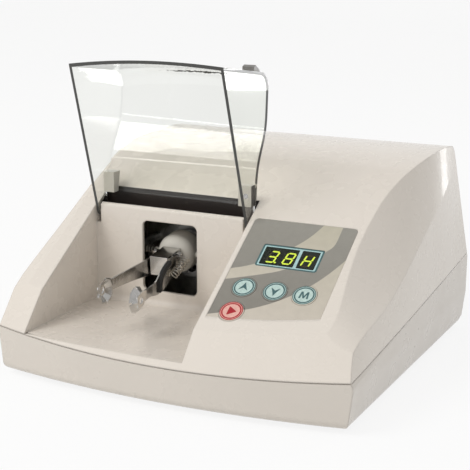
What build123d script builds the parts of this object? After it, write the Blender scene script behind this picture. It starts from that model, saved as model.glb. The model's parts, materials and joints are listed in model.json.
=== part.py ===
"""Dental amalgamator: a bench mixer for dental capsules, with a clear hinged lid over its mixing chamber."""

import os
from math import atan, cos, hypot, pi, radians, sin, sqrt, tan

from build123d import *

os.makedirs("parts", exist_ok=True)

# ---------------------------------------------------------------- driving dimensions, mm
# X right, Y back, Z up. The origin is on the bench, under the middle of the machine.
# "back" is a distance behind the middle of the front edge.

# Case halves and their seam
body_depth = 236
front_half_width = 120
rear_half_width = 125.5
front_bow = 12
foot_height = 3
case_wall = 2.5
base_draft = 3
base_edge_radius = 5
seam_height = 26.5
seam_slope = 0.101
seam_smile = 4
seam_gap = 0.4
wall_step = 0.4
front_lean = 0.92
panel_angle = 31.6
panel_edge_back = 20.5
panel_edge_height = 48
arch_start_back = 120
arch_radius = 165
roof_edge_radius = 7
reach = 20
sky = 180

vent_width = 3
vent_height = 26
vent_pitch = 8
vent_count = 8
vent_x = -44
vent_z = 84

# Mixing chamber, moulded into the top half
chamber_left = -98.8
chamber_right = 15.9
chamber_floor = 30.5
chamber_depth = 99
chamber_floor_radius = 4
back_wall_top = 100.5
slot_depth = 14
slot_floor = 91
notch_floor = 84
left_notch_width = 3.5
right_notch_width = 4.3
window_left = -63
window_right = -22
window_bottom = 40
window_top = 88.5
window_radius = 4

# Clear lid, drawn open
lid_side_gap = 0.6
lid_wall = 2
lid_pivot_behind = 5
lid_pivot_height = 94
lid_ear_radius = 6
hinge_pin_diameter = 4
hinge_clearance = 0.1
lid_foot_spot = (12, 104)
lid_knee_spot = (15, 128)
lid_shoulder_spot = (28.5, 152)
lid_corner_spot = (31, 188.5)
lid_bend_radius = 40
lid_corner_radius = 13
lid_left_front_spot = (-30, 194.5)
lid_right_front_spot = (-37, 199)
lid_crown = 3
lid_left_drop = 3.5
lid_left_shift = (2, 4, 6, 7)
lid_reach = 30
hinge_block_size = (8, 4, 14)
grip_size = (8, 9, 4)
grip_heel = 0.33
grip_crest = 0.67
grip_crown = 1
pin_past_ear = 0.3
grip_from_corner = 22
magnet_diameter = 3.6
magnet_depth = 2
sensor_size = (4, 14, 8)
sensor_from_pivot = 14

# Front panel: across in X, and up the slope from the panel's front edge
label_left = 19.6
label_right = 89.7
label_top = 95.7
label_bottom = 2.4
label_border = 3.2
label_radius = 3
label_recess = 0.6
label_thickness = 0.5
label_gap = 0.15
display_left = 34
display_right = 74.5
display_bottom = 56.9
display_top = 74.4
display_gap = 0.15
display_radius = 1
window_flange = 0.9
module_inset = 1
module_gap = 0.4
key_diameter = 16
key_gap = 0.2
key_travel = 0.5
key_proud = 0.3
key_flange = 1.2
key_under_gap = 0.3
stem_diameter = 5
stem_spare = 0.2
switch_width = 6
switch_button_diameter = 3.5
switch_button_height = 0.6
switch_top_depth = 9
key_spots = {
    "key_up": (34.3, 36.4),
    "key_down": (54.8, 36.4),
    "key_mode": (74, 36.4),
    "key_start": (33.8, 16.4),
}
board_depth = 13
board_thickness = 1.6
board_left = 24
board_right = 88
board_bottom = 8
board_top = 86
spacer_diameter = 6
spacer_inset = 4
lower_spacer_left = 48
board_screw_diameter = 3
board_screw_head = (5.6, 2)
board_screw_grip = 6

# Mixing head: its journal leans from the drive axis, so that the head nutates
drive_x = -42.5
drive_height = 65.5
journal_behind = 13
journal_lean = 6
journal_diameter = 10
journal_clearance = 0.05
bearing_diameter = 19
bearing_width = 6
housing_diameter = 27
housing_front = 8.5
housing_front_radius = 7
housing_rear = 8
press_clearance = 0.02
relief_diameter = 13
relief_depth = 1.2
lug_length = 4
lug_diameter = 4
fork_width = 13
fork_front = 28.2
fork_sheet = 1.6
arm_thickness = 1
arm_bend_radius = 12
knuckle_side_gap = 0.7
knuckle_radius = 2
knuckle_height = 8.6
knuckle_ahead = 15
ear_gap = 0.4
ear_sheet = 1.2
pin_stand_out = 0.9
jaw_pin_diameter = 2
jaw_pin_clearance = 0.06
cup_ahead = 78.5
cup_gap = 21
cup_across = 16.5
cup_base_across = 9
cup_depth = 4
cup_wall = 1
cup_hole = 4.5
cup_notch = 1.6
cup_notch_count = 4
damper_width = 3
damper_thickness = 1.5
spring_touch_gap = 0.1
jaw_spring_diameter = 6.4
jaw_spring_wire = 0.9
jaw_spring_turns = 8
jaw_spring_ahead = (16.5, 31.8)
jaw_spring_up = (3, -3.8)

# Drive
shaft_diameter = 8
hub_diameter = 24
hub_behind_journal = 11
hub_width = 6
wheel_diameter = 46
wheel_width = 7
wheel_gap = 2
wheel_chamfer = 0.8
wheel_hole_offset = 15
wheel_hole_diameter = 8
shaft_engagement = 10
motor_diameter = 62
motor_rear_room = 21
motor_behind_journal = 35
motor_boss_diameter = 22
motor_boss_length = 4
bracket_sheet = 3
bracket_width = 84
bracket_past_motor = 14
bracket_top = 104
motor_screw_offset = 16
motor_screw_grip = 8
isolator_inset = 10
isolator_diameter = 14
isolator_height = 10
restraint_spring_diameter = 6
restraint_spring_wire = 0.8
restraint_spring_turns = 6
lug_spring_gap = 0.4
anchor_offset = 34
anchor_diameter = 7

# Power side
transformer_size = (50, 42, 38)
transformer_spot = (64, 84)
transformer_stack = 30
transformer_coil_height = 26
transformer_foot = 1.5
power_board_width = 66
power_board_x = 66
power_board_front = 120
power_board_rear_room = 40
standoff_height = 6
capacitor_spot = (84, 140)
capacitor_size = (16, 25)
relay_x = 54
relay_rear_inset = 11
relay_size = (20, 16, 15)
heat_sink_spot = (56, 142)
heat_sink_size = (24, 14, 22)
heat_sink_base = 4
heat_sink_slots = 4
heat_sink_slot = 3
rear_recess = 3
rear_pad_wall = 5.5
rear_panel_left = 2
rear_panel_right = 108
rear_panel_bottom = 12
rear_panel_top = 47
inlet_x = 84
inlet_size = (27, 20)
inlet_length = 22
inlet_wall = 1.5
socket_depth = 16
inlet_pin = (2, 5)
inlet_pin_pitch = 7
inlet_pin_drop = 2
rear_flange = 1.2
flange_lip = 1.5
fuse_x = 52
fuse_diameter = 14
fuse_length = 26
fuse_cap_diameter = 10
fuse_cap_depth = 16
fuse_cap_gap = 0.3
fuse_cap_slot = 1
switch_x = 21
switch_size = (19, 13)
switch_length = 16
rocker_size = (14, 10)
rocker_sunk = 3.5
rocker_inside = 1.4
rocker_taper = 1.1
rocker_dip = 0.7
rocker_tilt = 10
rocker_stub = 1.5
rocker_stub_diameter = 3
rocker_clearance = 0.3
fit_gap = 0.15

# Fasteners and feet
screw_head_diameter = 7
screw_head_height = 3
screw_grip = 10
foot_diameter = 16
foot_inset = 24
boss_diameter = 10
boss_split = 46
boss_bore_depth = 12
case_screw_diameter = 4
screw_clearance = 0.15
boss_front_left = (-110.5, 60)
boss_front_right = (103, 60)
boss_rear_left_x = -98
boss_rear_right_x = 110
boss_rear_inset = 24

# ---------------------------------------------------------------- shared values and planes
lid_pivot_back = chamber_depth + lid_pivot_behind
lid_foot, lid_knee, lid_shoulder, lid_corner, lid_left_front, lid_right_front = (
    (chamber_depth + behind_wall, height)
    for behind_wall, height in (
        lid_foot_spot,
        lid_knee_spot,
        lid_shoulder_spot,
        lid_corner_spot,
        lid_left_front_spot,
        lid_right_front_spot,
    )
)
journal_back = chamber_depth + journal_behind
hub_front_back = journal_back + hub_behind_journal
motor_back = journal_back + motor_behind_journal
motor_length = body_depth - motor_rear_room - motor_back
bracket_length = motor_length + bracket_past_motor
power_board_rear = body_depth - power_board_rear_room
power_board_size = (power_board_width, power_board_rear - power_board_front)
power_board_spot = (power_board_x, (power_board_front + power_board_rear) / 2)
relay_spot = (relay_x, power_board_rear - relay_rear_inset)
boss_rear = body_depth - boss_rear_inset
boss_spots = (
    boss_front_left,
    (boss_rear_left_x, boss_rear),
    (boss_rear_right_x, boss_rear),
    boss_front_right,
)
front_y = -body_depth / 2
rear_y = body_depth / 2
lean = radians(panel_angle)
chamber_walls = case_wall
back_wall_rear = chamber_depth + case_wall
slot_rear = back_wall_rear + slot_depth
case_floor = foot_height + case_wall
lid_left = chamber_left + lid_side_gap
lid_right = chamber_right - lid_side_gap
rear_panel_z = (rear_panel_bottom + rear_panel_top) / 2
face_depth = label_recess - label_thickness
stem_gap = key_travel + stem_spare


def behind(back):
    return front_y + back


panel_plane = Plane(
    origin=(0, behind(panel_edge_back), panel_edge_height),
    x_dir=(1, 0, 0),
    z_dir=(0, -sin(lean), cos(lean)),
)
tilt = radians(journal_lean)
head_forward = Vector(0, -cos(tilt), -sin(tilt))
head_up = Vector(0, -sin(tilt), cos(tilt))
journal_centre = Vector(drive_x, behind(journal_back), drive_height)
head_plane = Plane(origin=journal_centre, x_dir=(1, 0, 0), z_dir=head_forward)
drive_plane = Plane(origin=(drive_x, front_y, drive_height), x_dir=(1, 0, 0), z_dir=(0, 1, 0))


def head_point(across, up, ahead):
    return journal_centre + Vector(1, 0, 0) * across + head_up * up + head_forward * ahead


def half_width(back):
    return front_half_width + (rear_half_width - front_half_width) * back / body_depth


def panel_z(back):
    return panel_edge_height + (back - panel_edge_back) * tan(lean)


arch_centre_back = arch_start_back + arch_radius * sin(lean)
arch_centre_z = panel_z(arch_start_back) - arch_radius * cos(lean)


def roof_z(back):
    if back <= arch_start_back:
        return panel_z(back)
    return arch_centre_z + sqrt(arch_radius**2 - (back - arch_centre_back) ** 2)


def block(left, right, front, rear, bottom, top):
    """A plain block between two sides, two distances back and two heights."""
    with BuildPart() as solid:
        with BuildSketch(Plane.XY.offset(bottom)):
            with Locations(((left + right) / 2, behind((front + rear) / 2))):
                Rectangle(right - left, rear - front)
        extrude(amount=top - bottom)
    return solid.part


# ---------------------------------------------------------------- outer form of the case


def roof_form(inset):
    """Everything under the panel slope and the arched roof."""
    radius = arch_radius - inset
    knee_back = arch_centre_back - radius * sin(lean)
    knee_z = arch_centre_z + radius * cos(lean)
    end_back = body_depth - inset
    middle_back = (knee_back + end_back) / 2
    start_z = knee_z - (knee_back + reach) * tan(lean)
    middle_z = arch_centre_z + sqrt(radius**2 - (middle_back - arch_centre_back) ** 2)
    end_z = arch_centre_z + sqrt(radius**2 - (end_back - arch_centre_back) ** 2)
    with BuildPart() as form:
        with BuildSketch(Plane.YZ) as roof_profile:
            with BuildLine():
                Line((behind(-reach), start_z), (behind(knee_back), knee_z))
                ThreePointArc(
                    (behind(knee_back), knee_z), (behind(middle_back), middle_z), (behind(end_back), end_z)
                )
                Polyline(
                    (behind(end_back), end_z),
                    (behind(end_back), foot_height + inset),
                    (behind(-reach), foot_height + inset),
                    (behind(-reach), start_z),
                )
            make_face()
            roof_corner = roof_profile.vertices().group_by(Axis.X)[-1].sort_by(Axis.Y)[-1]
            fillet(roof_corner, radius=roof_edge_radius - inset)
        extrude(amount=rear_half_width + reach, both=True)
    return form.part


def wall_form(inset):
    """The side walls, which widen to the back and draw in under the seam."""
    with BuildPart() as form:
        for back in (-reach, body_depth + reach):
            half = half_width(back) - inset
            with BuildSketch(Plane.XZ.offset(-behind(back))):
                with BuildLine():
                    Polyline(
                        (base_draft - half, 0),
                        (half - base_draft, 0),
                        (half, seam_height),
                        (half, sky),
                        (-half, sky),
                        (-half, seam_height),
                        close=True,
                    )
                make_face()
        loft(ruled=True)
    return form.part


def front_region(inset):
    """The space ahead of the bowed seam line at the front, on the tilted plane that holds that line."""
    rise = seam_smile + front_bow * seam_slope
    scale = ((front_half_width + reach) / front_half_width) ** 2
    bow_out = hypot(front_bow, rise) * scale
    half = front_half_width + reach
    pitch = atan(rise / front_bow)
    plane = Plane(origin=(0, behind(inset), seam_height), x_dir=(1, 0, 0), z_dir=(0, -sin(pitch), cos(pitch)))
    with BuildSketch(plane) as region:
        with BuildLine():
            ThreePointArc((-half, bow_out), (0, 0), (half, bow_out))
            Polyline((half, bow_out), (half, -3 * reach), (-half, -3 * reach), (-half, bow_out))
        make_face()
    return region.sketch


# Right cheek: how far back, crease on the roof, edge over the side wall, and that edge's height
cheek_stations = (
    (-26, 96.5, 116.5, 35),
    (29, 96.5, 115.5, 47.5),
    (69, 95.5, 117.6, 57),
    (103, 94.5, 118.8, 68.5),
    (131, 98, 119.3, 81),
    (161, 105, 119.3, 93.5),
    (191, 110.5, 118.4, 105),
    (215, 112, 116.3, 113.5),
    (245, 112.2, 113.6, 122),
)
# Left rim: how far back, crease on the roof, edge over the side wall, and the edge's drop under the roof
rim_stations = (
    (-26, 110, 122.4, 2.6),
    (27, 110, 121.6, 2.5),
    (63, 110, 119, 2.3),
    (100, 110, 115, 1.8),
    (129, 109, 112.3, 1.5),
    (169, 107, 111, 1.8),
    (245, 106, 110.5, 2),
)


def facet_cut(rows, side, inset):
    """Outside the sloping facet between the crease and the edge, smooth from front to back."""
    overrun = 8
    with BuildPart() as cut:
        for back, crease_x, edge_x, edge_z, crease_z in rows:
            width = hypot(edge_x - crease_x, edge_z - crease_z)
            step_x = (edge_x - crease_x) / width
            step_z = (edge_z - crease_z) / width
            inner_x = crease_x - overrun * step_x + inset * step_z
            inner_z = crease_z - overrun * step_z - inset * step_x
            outer_x = edge_x + overrun * step_x + inset * step_z
            outer_z = edge_z + overrun * step_z - inset * step_x
            with BuildSketch(Plane.XZ.offset(-behind(back))):
                with BuildLine():
                    Polyline(
                        (side * inner_x, inner_z),
                        (side * outer_x, outer_z),
                        (side * (rear_half_width + 2 * reach), outer_z),
                        (side * (rear_half_width + 2 * reach), sky + 2 * reach),
                        (side * inner_x, sky + 2 * reach),
                        close=True,
                    )
                make_face()
        loft()
    return cut.part


def side_wall_cut(rows, side, inset):
    """Outside the wall that leans in from the seam to the facet's edge."""
    overrun = 30
    with BuildPart() as cut:
        for back, crease_x, edge_x, edge_z, crease_z in rows:
            foot_x = half_width(back) + wall_step - inset
            foot_z = seam_height + back * seam_slope
            top_x = edge_x - inset + (edge_x - inset - foot_x) * overrun / (edge_z - foot_z)
            with BuildSketch(Plane.XZ.offset(-behind(back))):
                with BuildLine():
                    Polyline(
                        (side * foot_x, foot_z),
                        (side * top_x, edge_z + overrun),
                        (side * (rear_half_width + 2 * reach), edge_z + overrun),
                        (side * (rear_half_width + 2 * reach), foot_z),
                        close=True,
                    )
                make_face()
        loft()
    return cut.part


def cheek_rows():
    least_fall = 3
    rows = []
    for back, crease, edge, edge_z in cheek_stations:
        rows.append((back, crease, edge, edge_z, max(roof_z(min(back, body_depth)), edge_z + least_fall)))
    return rows


def rim_rows():
    rows = []
    for back, crease, edge, drop in rim_stations:
        roof = roof_z(min(back, body_depth))
        rows.append((back, crease, edge, roof - drop, roof))
    return rows


def case_form(inset):
    """The whole outside of the case, or the same form drawn in by a wall."""
    with BuildPart() as form:
        add(roof_form(inset))
        add(wall_form(inset), mode=Mode.INTERSECT)
        for rows, side in ((cheek_rows(), 1), (rim_rows(), -1)):
            add(facet_cut(rows, side, inset), mode=Mode.SUBTRACT)
            add(side_wall_cut(rows, side, inset), mode=Mode.SUBTRACT)
        lean_region = front_region(inset * hypot(1, front_lean))
        extrude(lean_region, amount=sky, dir=(0, front_lean, 1), mode=Mode.SUBTRACT)
        extrude(front_region(inset), amount=3 * reach, dir=(0, 0, -1), mode=Mode.SUBTRACT)
    return form.part


def under_seam(drop):
    """Everything under the seam, which rises to the back and at both sides."""
    half = front_half_width + 2 * reach
    rise = seam_smile * (half / front_half_width) ** 2
    run = hypot(1, seam_slope)
    plane = Plane(
        origin=(0, behind(-reach), seam_height - seam_slope * reach - drop),
        x_dir=(-1, 0, 0),
        z_dir=(0, 1 / run, seam_slope / run),
    )
    with BuildPart() as under:
        with BuildSketch(plane):
            with BuildLine():
                ThreePointArc((-half, rise), (0, 0), (half, rise))
                Polyline((half, rise), (half, -sky), (-half, -sky), (-half, rise))
            make_face()
        extrude(amount=(body_depth + 2 * reach) * run)
    return under.part


case_outside = case_form(0)
case_inside = case_form(case_wall)


def boss_posts(diameter, bottom, top):
    with BuildPart() as posts:
        with BuildSketch(Plane.XY.offset(bottom)):
            with Locations([(x, behind(back)) for x, back in boss_spots]):
                Circle(diameter / 2)
        extrude(amount=top - bottom)
    return posts.part


def panel_plate(left, right, bottom, top, radius, depth, height):
    """A rounded plate on the front panel, from a depth under its face up by a height."""
    with BuildPart() as plate:
        with BuildSketch(panel_plane.offset(-depth)):
            with Locations(((left + right) / 2, (bottom + top) / 2)):
                RectangleRounded(right - left, top - bottom, radius)
        extrude(amount=height)
    return plate.part


def label_plate(grow, depth, height):
    """The label's outline, cut off parallel to the bowed front edge."""
    with BuildPart() as plate:
        add(
            panel_plate(
                label_left - grow,
                label_right + grow,
                label_bottom - grow,
                label_top + grow,
                label_radius,
                depth,
                height,
            )
        )
        region = front_region((label_border - grow) * hypot(1, front_lean))
        extrude(region, amount=sky, dir=(0, front_lean, 1), mode=Mode.SUBTRACT)
    return plate.part


def key_discs(grow, depth, height):
    with BuildPart() as discs:
        with BuildSketch(panel_plane.offset(-depth)):
            with Locations(list(key_spots.values())):
                Circle(key_diameter / 2 + grow)
        extrude(amount=height)
    return discs.part


def display_plate(grow, depth, height):
    """The display's outline, from a depth under the panel's face up by a height."""
    return panel_plate(
        display_left - grow,
        display_right + grow,
        display_bottom - grow,
        display_top + grow,
        display_radius,
        depth,
        height,
    )


def hinge_bores(radius, left, right):
    with BuildPart() as bores:
        with BuildSketch(Plane.YZ.offset(left)):
            with Locations((behind(lid_pivot_back), lid_pivot_height)):
                Circle(radius)
        extrude(amount=right - left)
    return bores.part


# ---------------------------------------------------------------- top half of the case
with BuildPart() as chamber_tub:
    add(
        block(
            chamber_left - chamber_walls,
            chamber_right + chamber_walls,
            0,
            back_wall_rear,
            chamber_floor - chamber_walls,
            sky,
        )
    )
    add(
        block(
            chamber_left - chamber_walls,
            chamber_right + chamber_walls,
            chamber_depth,
            slot_rear + chamber_walls,
            slot_floor - chamber_walls,
            sky,
        )
    )
    for left, right in (
        (chamber_left - chamber_walls, chamber_left + left_notch_width + chamber_walls),
        (chamber_right - right_notch_width - chamber_walls, chamber_right + chamber_walls),
    ):
        add(block(left, right, chamber_depth, slot_rear + chamber_walls, notch_floor - chamber_walls, sky))

with BuildPart() as chamber_cut:
    add(block(chamber_left, chamber_right, -reach, chamber_depth, chamber_floor, sky))
    rear_floor_edge = chamber_cut.edges().filter_by(Axis.X).group_by(Axis.Z)[0].sort_by(Axis.Y)[-1]
    fillet(rear_floor_edge, radius=chamber_floor_radius)

# The tub's floor and walls go on below the seam, a gap inside the tray's walls.
with BuildPart() as hanging_tub:
    add(chamber_tub.part)
    add(case_form(case_wall + seam_gap), mode=Mode.INTERSECT)

with BuildPart() as shell_cavity:
    add(case_inside)
    add(chamber_tub.part, mode=Mode.SUBTRACT)
    add(boss_posts(boss_diameter, boss_split, sky), mode=Mode.SUBTRACT)

with BuildPart() as top_shell:
    add(case_outside)
    add(under_seam(-seam_gap / 2), mode=Mode.SUBTRACT)
    add(shell_cavity.part, mode=Mode.SUBTRACT)
    add(hanging_tub.part)
    add(chamber_cut.part, mode=Mode.SUBTRACT)
    add(
        block(chamber_left, chamber_right, chamber_depth - 1, back_wall_rear + 1, back_wall_top, sky),
        mode=Mode.SUBTRACT,
    )
    add(block(chamber_left, chamber_right, back_wall_rear, slot_rear, slot_floor, sky), mode=Mode.SUBTRACT)
    for left, right in (
        (chamber_left, chamber_left + left_notch_width),
        (chamber_right - right_notch_width, chamber_right),
    ):
        add(block(left, right, chamber_depth - 1, slot_rear, notch_floor, sky), mode=Mode.SUBTRACT)
    with BuildSketch(Plane.XZ.offset(-behind(chamber_depth - 1))):
        with Locations(((window_left + window_right) / 2, (window_bottom + window_top) / 2)):
            RectangleRounded(window_right - window_left, window_top - window_bottom, window_radius)
    extrude(amount=-(chamber_walls + 2), mode=Mode.SUBTRACT)
    add(label_plate(label_gap, label_recess, 2 * label_recess), mode=Mode.SUBTRACT)
    add(key_discs(key_gap, 2 * case_wall, 3 * case_wall), mode=Mode.SUBTRACT)
    add(display_plate(display_gap, 2 * case_wall, 3 * case_wall), mode=Mode.SUBTRACT)
    add(hinge_bores(hinge_pin_diameter / 2, chamber_left - chamber_walls, chamber_left), mode=Mode.SUBTRACT)
    add(hinge_bores(hinge_pin_diameter / 2, chamber_right, chamber_right + chamber_walls), mode=Mode.SUBTRACT)
    with BuildSketch(Plane.XZ.offset(-rear_y - 1)):
        with Locations((vent_x, vent_z)):
            with GridLocations(vent_pitch, 1, vent_count, 1):
                SlotOverall(vent_height, vent_width, rotation=90)
    extrude(amount=2 * case_wall, mode=Mode.SUBTRACT)
    add(
        boss_posts(case_screw_diameter + 2 * screw_clearance, boss_split - 1, boss_split + boss_bore_depth),
        mode=Mode.SUBTRACT,
    )
top_shell.part.label = "top_shell"
export_step(top_shell.part, "parts/top_shell.step")

# ---------------------------------------------------------------- base tray
with BuildPart() as tray_cavity:
    add(case_inside)
    add(boss_posts(boss_diameter, 0, boss_split), mode=Mode.SUBTRACT)
    add(
        block(
            rear_panel_left - case_wall,
            rear_panel_right + case_wall,
            body_depth - rear_pad_wall,
            body_depth,
            0,
            sky,
        ),
        mode=Mode.SUBTRACT,
    )

with BuildPart() as base_tray:
    add(case_outside)
    fillet(base_tray.edges().group_by(Axis.Z)[0], radius=base_edge_radius)
    add(under_seam(seam_gap / 2), mode=Mode.INTERSECT)
    add(tray_cavity.part, mode=Mode.SUBTRACT)
    add(boss_posts(boss_diameter, case_floor - 1, boss_split))
    add(
        block(
            rear_panel_left,
            rear_panel_right,
            body_depth - rear_recess,
            body_depth + 1,
            rear_panel_bottom,
            rear_panel_top,
        ),
        mode=Mode.SUBTRACT,
    )
    add(boss_posts(case_screw_diameter + 2 * screw_clearance, 0, boss_split + 1), mode=Mode.SUBTRACT)
    add(
        boss_posts(screw_head_diameter + 2 * screw_clearance, 0, foot_height + screw_head_height + 1),
        mode=Mode.SUBTRACT,
    )
    with BuildSketch(Plane.XZ.offset(-rear_y - 1)):
        with Locations((inlet_x, rear_panel_z)):
            Rectangle(inlet_size[0] + 2 * fit_gap, inlet_size[1] + 2 * fit_gap)
        with Locations((fuse_x, rear_panel_z)):
            Circle(fuse_diameter / 2 + fit_gap)
        with Locations((switch_x, rear_panel_z)):
            Rectangle(switch_size[0] + 2 * fit_gap, switch_size[1] + 2 * fit_gap)
    extrude(amount=3 * rear_pad_wall, mode=Mode.SUBTRACT)
base_tray.part.label = "base_tray"
export_step(base_tray.part, "parts/base_tray.step")

foot_spots = [
    (side * (half_width(back) - base_draft - foot_inset), back)
    for side in (-1, 1)
    for back in (front_bow + foot_inset, body_depth - foot_inset)
]
with BuildPart() as rubber_feet:
    with BuildSketch():
        with Locations([(x, behind(back)) for x, back in foot_spots]):
            Circle(foot_diameter / 2)
    extrude(amount=foot_height)
rubber_feet.part.label = "rubber_feet"
export_step(rubber_feet.part, "parts/rubber_feet.step")

with BuildPart() as case_screws:
    add(boss_posts(screw_head_diameter, foot_height + 1, foot_height + 1 + screw_head_height))
    add(boss_posts(case_screw_diameter, foot_height + 1 + screw_head_height, boss_split + screw_grip))
case_screws.part.label = "case_screws"
export_step(case_screws.part, "parts/case_screws.step")

# ---------------------------------------------------------------- lid and its hinge
def lid_channel(inset):
    """The lid's bent sheet, run on past its open side; its front wall is crowned across the chamber."""
    wall_run = Vector(lid_right_front[0] - lid_corner[0], lid_right_front[1] - lid_corner[1]).normalized()
    past_front = Vector(*lid_right_front) + wall_run * lid_reach
    past_foot = lid_foot[1] - lid_reach
    stations = (
        (lid_left + inset, -lid_left_drop, 1),
        ((lid_left + lid_right) / 2, lid_crown - lid_left_drop / 2, 1 / 2),
        (lid_right - inset, 0, 0),
    )
    with BuildPart() as channel:
        for x, rise, share in stations:
            foot, knee, shoulder, corner = (
                behind(point[0] + share * shift)
                for point, shift in zip((lid_foot, lid_knee, lid_shoulder, lid_corner), lid_left_shift)
            )
            with BuildSketch(Plane.YZ.offset(x)):
                with BuildLine():
                    FilletPolyline(
                        (foot, past_foot),
                        (foot, lid_foot[1]),
                        (knee, lid_knee[1]),
                        (shoulder, lid_shoulder[1]),
                        (corner, lid_corner[1] + rise),
                        (behind(past_front.X), past_front.Y + rise),
                        radius=(lid_bend_radius, lid_bend_radius, lid_bend_radius, lid_corner_radius),
                    )
                    Polyline(
                        (behind(past_front.X), past_front.Y + rise),
                        (behind(past_front.X), past_foot),
                        (foot, past_foot),
                    )
                make_face()
                if inset:
                    offset(amount=-inset)
        loft()
    return channel.part


def lid_reach_form():
    """The space that the lid may fill: behind the slanting free edges of its sides, above its foot."""
    with BuildPart() as form:
        for x, front in ((lid_left, lid_left_front), (lid_right, lid_right_front)):
            with BuildSketch(Plane.YZ.offset(x)):
                with BuildLine():
                    Polyline(
                        (behind(front[0]), front[1] - lid_wall),
                        (behind(front[0] - lid_wall), front[1] + 3 * lid_wall),
                        (behind(lid_corner[0] + lid_reach), front[1] + lid_reach),
                        (behind(lid_corner[0] + lid_reach), lid_foot[1]),
                        (behind(lid_side_rear), lid_foot[1]),
                        (behind(lid_side_rear), lid_pivot_height),
                        (behind(lid_pivot_back - lid_ear_radius), lid_pivot_height),
                        close=True,
                    )
                make_face()
        loft(ruled=True)
    return form.part


lid_side_rear = lid_foot[0] - lid_wall - fit_gap
lid_outside = lid_channel(0)
lid_inside = lid_channel(lid_wall)

with BuildPart() as lid:
    add(lid_outside)
    add(lid_inside, mode=Mode.SUBTRACT)
    add(lid_reach_form(), mode=Mode.INTERSECT)
    for left in (lid_left, lid_right - lid_wall):
        with BuildSketch(Plane.YZ.offset(left)):
            with Locations((behind(lid_pivot_back), lid_pivot_height)):
                Circle(lid_ear_radius)
        extrude(amount=lid_wall)
    add(hinge_bores(hinge_pin_diameter / 2 + hinge_clearance, lid_left - 1, lid_right + 1), mode=Mode.SUBTRACT)
lid.part.label = "lid"
export_step(lid.part, "parts/lid.step")

magnet_x = lid_right - lid_wall - hinge_block_size[0] / 2
magnet_z = lid_foot[1] + hinge_block_size[2] / 2
hinge_block_front = lid_foot[0] - lid_wall - hinge_block_size[1]


def magnet_disc():
    with BuildPart() as disc:
        with BuildSketch(Plane.XZ.offset(-behind(hinge_block_front))):
            with Locations((magnet_x, magnet_z)):
                Circle(magnet_diameter / 2)
        extrude(amount=-magnet_depth)
    return disc.part


with BuildPart() as lid_hinge_blocks:
    for left in (lid_left + lid_wall, lid_right - lid_wall - hinge_block_size[0]):
        add(
            block(
                left,
                left + hinge_block_size[0],
                hinge_block_front,
                lid_corner[0],
                lid_foot[1],
                lid_foot[1] + hinge_block_size[2],
            )
        )
    add(lid_inside, mode=Mode.INTERSECT)
    add(magnet_disc(), mode=Mode.SUBTRACT)
lid_hinge_blocks.part.label = "lid_hinge_blocks"
export_step(lid_hinge_blocks.part, "parts/lid_hinge_blocks.step")

with BuildPart() as lid_magnet:
    add(magnet_disc())
lid_magnet.part.label = "lid_magnet"
export_step(lid_magnet.part, "parts/lid_magnet.step")

grip_rear = lid_corner[0] - grip_from_corner + grip_size[1]
grip_z = lid_corner[1] + (grip_from_corner - grip_size[1]) * (lid_right_front[1] - lid_corner[1]) / (
    lid_corner[0] - lid_right_front[0]
)

with BuildPart() as lid_grip:
    with BuildSketch(Plane.YZ.offset(lid_right - grip_size[0] - 1)):
        with BuildLine():
            Polyline(
                (behind(grip_rear - grip_size[1]), grip_z - grip_size[2]),
                (behind(grip_rear), grip_z - grip_size[2]),
                (behind(grip_rear), grip_z + grip_size[2] * grip_heel),
                (behind(grip_rear - grip_size[1] * grip_crest), grip_z + grip_size[2] + grip_crown),
                (behind(grip_rear - grip_size[1]), grip_z + grip_size[2]),
                close=True,
            )
        make_face()
    extrude(amount=grip_size[0])
    add(lid_outside, mode=Mode.SUBTRACT)
lid_grip.part.label = "lid_grip"
export_step(lid_grip.part, "parts/lid_grip.step")

with BuildPart() as hinge_pins:
    add(hinge_bores(hinge_pin_diameter / 2, chamber_left - chamber_walls, lid_left + lid_wall + pin_past_ear))
    add(hinge_bores(hinge_pin_diameter / 2, lid_right - lid_wall - pin_past_ear, chamber_right + chamber_walls))
hinge_pins.part.label = "hinge_pins"
export_step(hinge_pins.part, "parts/hinge_pins.step")

with BuildPart() as lid_sensor:
    add(
        block(
            chamber_right + chamber_walls,
            chamber_right + chamber_walls + sensor_size[0],
            lid_pivot_back - sensor_from_pivot - sensor_size[1] / 2,
            lid_pivot_back - sensor_from_pivot + sensor_size[1] / 2,
            lid_pivot_height - sensor_from_pivot - sensor_size[2],
            lid_pivot_height - sensor_from_pivot,
        )
    )
lid_sensor.part.label = "lid_sensor"
export_step(lid_sensor.part, "parts/lid_sensor.step")

# ---------------------------------------------------------------- front panel, keys and control board
with BuildPart() as panel_overlay:
    add(label_plate(0, label_recess, label_thickness))
    add(key_discs(key_gap, 2 * case_wall, 3 * case_wall), mode=Mode.SUBTRACT)
    add(display_plate(display_gap, 2 * case_wall, 3 * case_wall), mode=Mode.SUBTRACT)
panel_overlay.part.label = "panel_overlay"
export_step(panel_overlay.part, "parts/panel_overlay.step")

window_back = case_wall + window_flange
with BuildPart() as display_window:
    add(display_plate(0, window_back, window_back - face_depth))
    add(display_plate(2 * window_flange, window_back, window_flange))
display_window.part.label = "display_window"
export_step(display_window.part, "parts/display_window.step")


def panel_rod(spots, diameter, depth, height):
    """Round rods square to the panel, from a depth under its face up by a height."""
    with BuildPart() as rods:
        with BuildSketch(panel_plane.offset(-depth)):
            with Locations(spots):
                Circle(diameter / 2)
        extrude(amount=height)
    return rods.part


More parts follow.
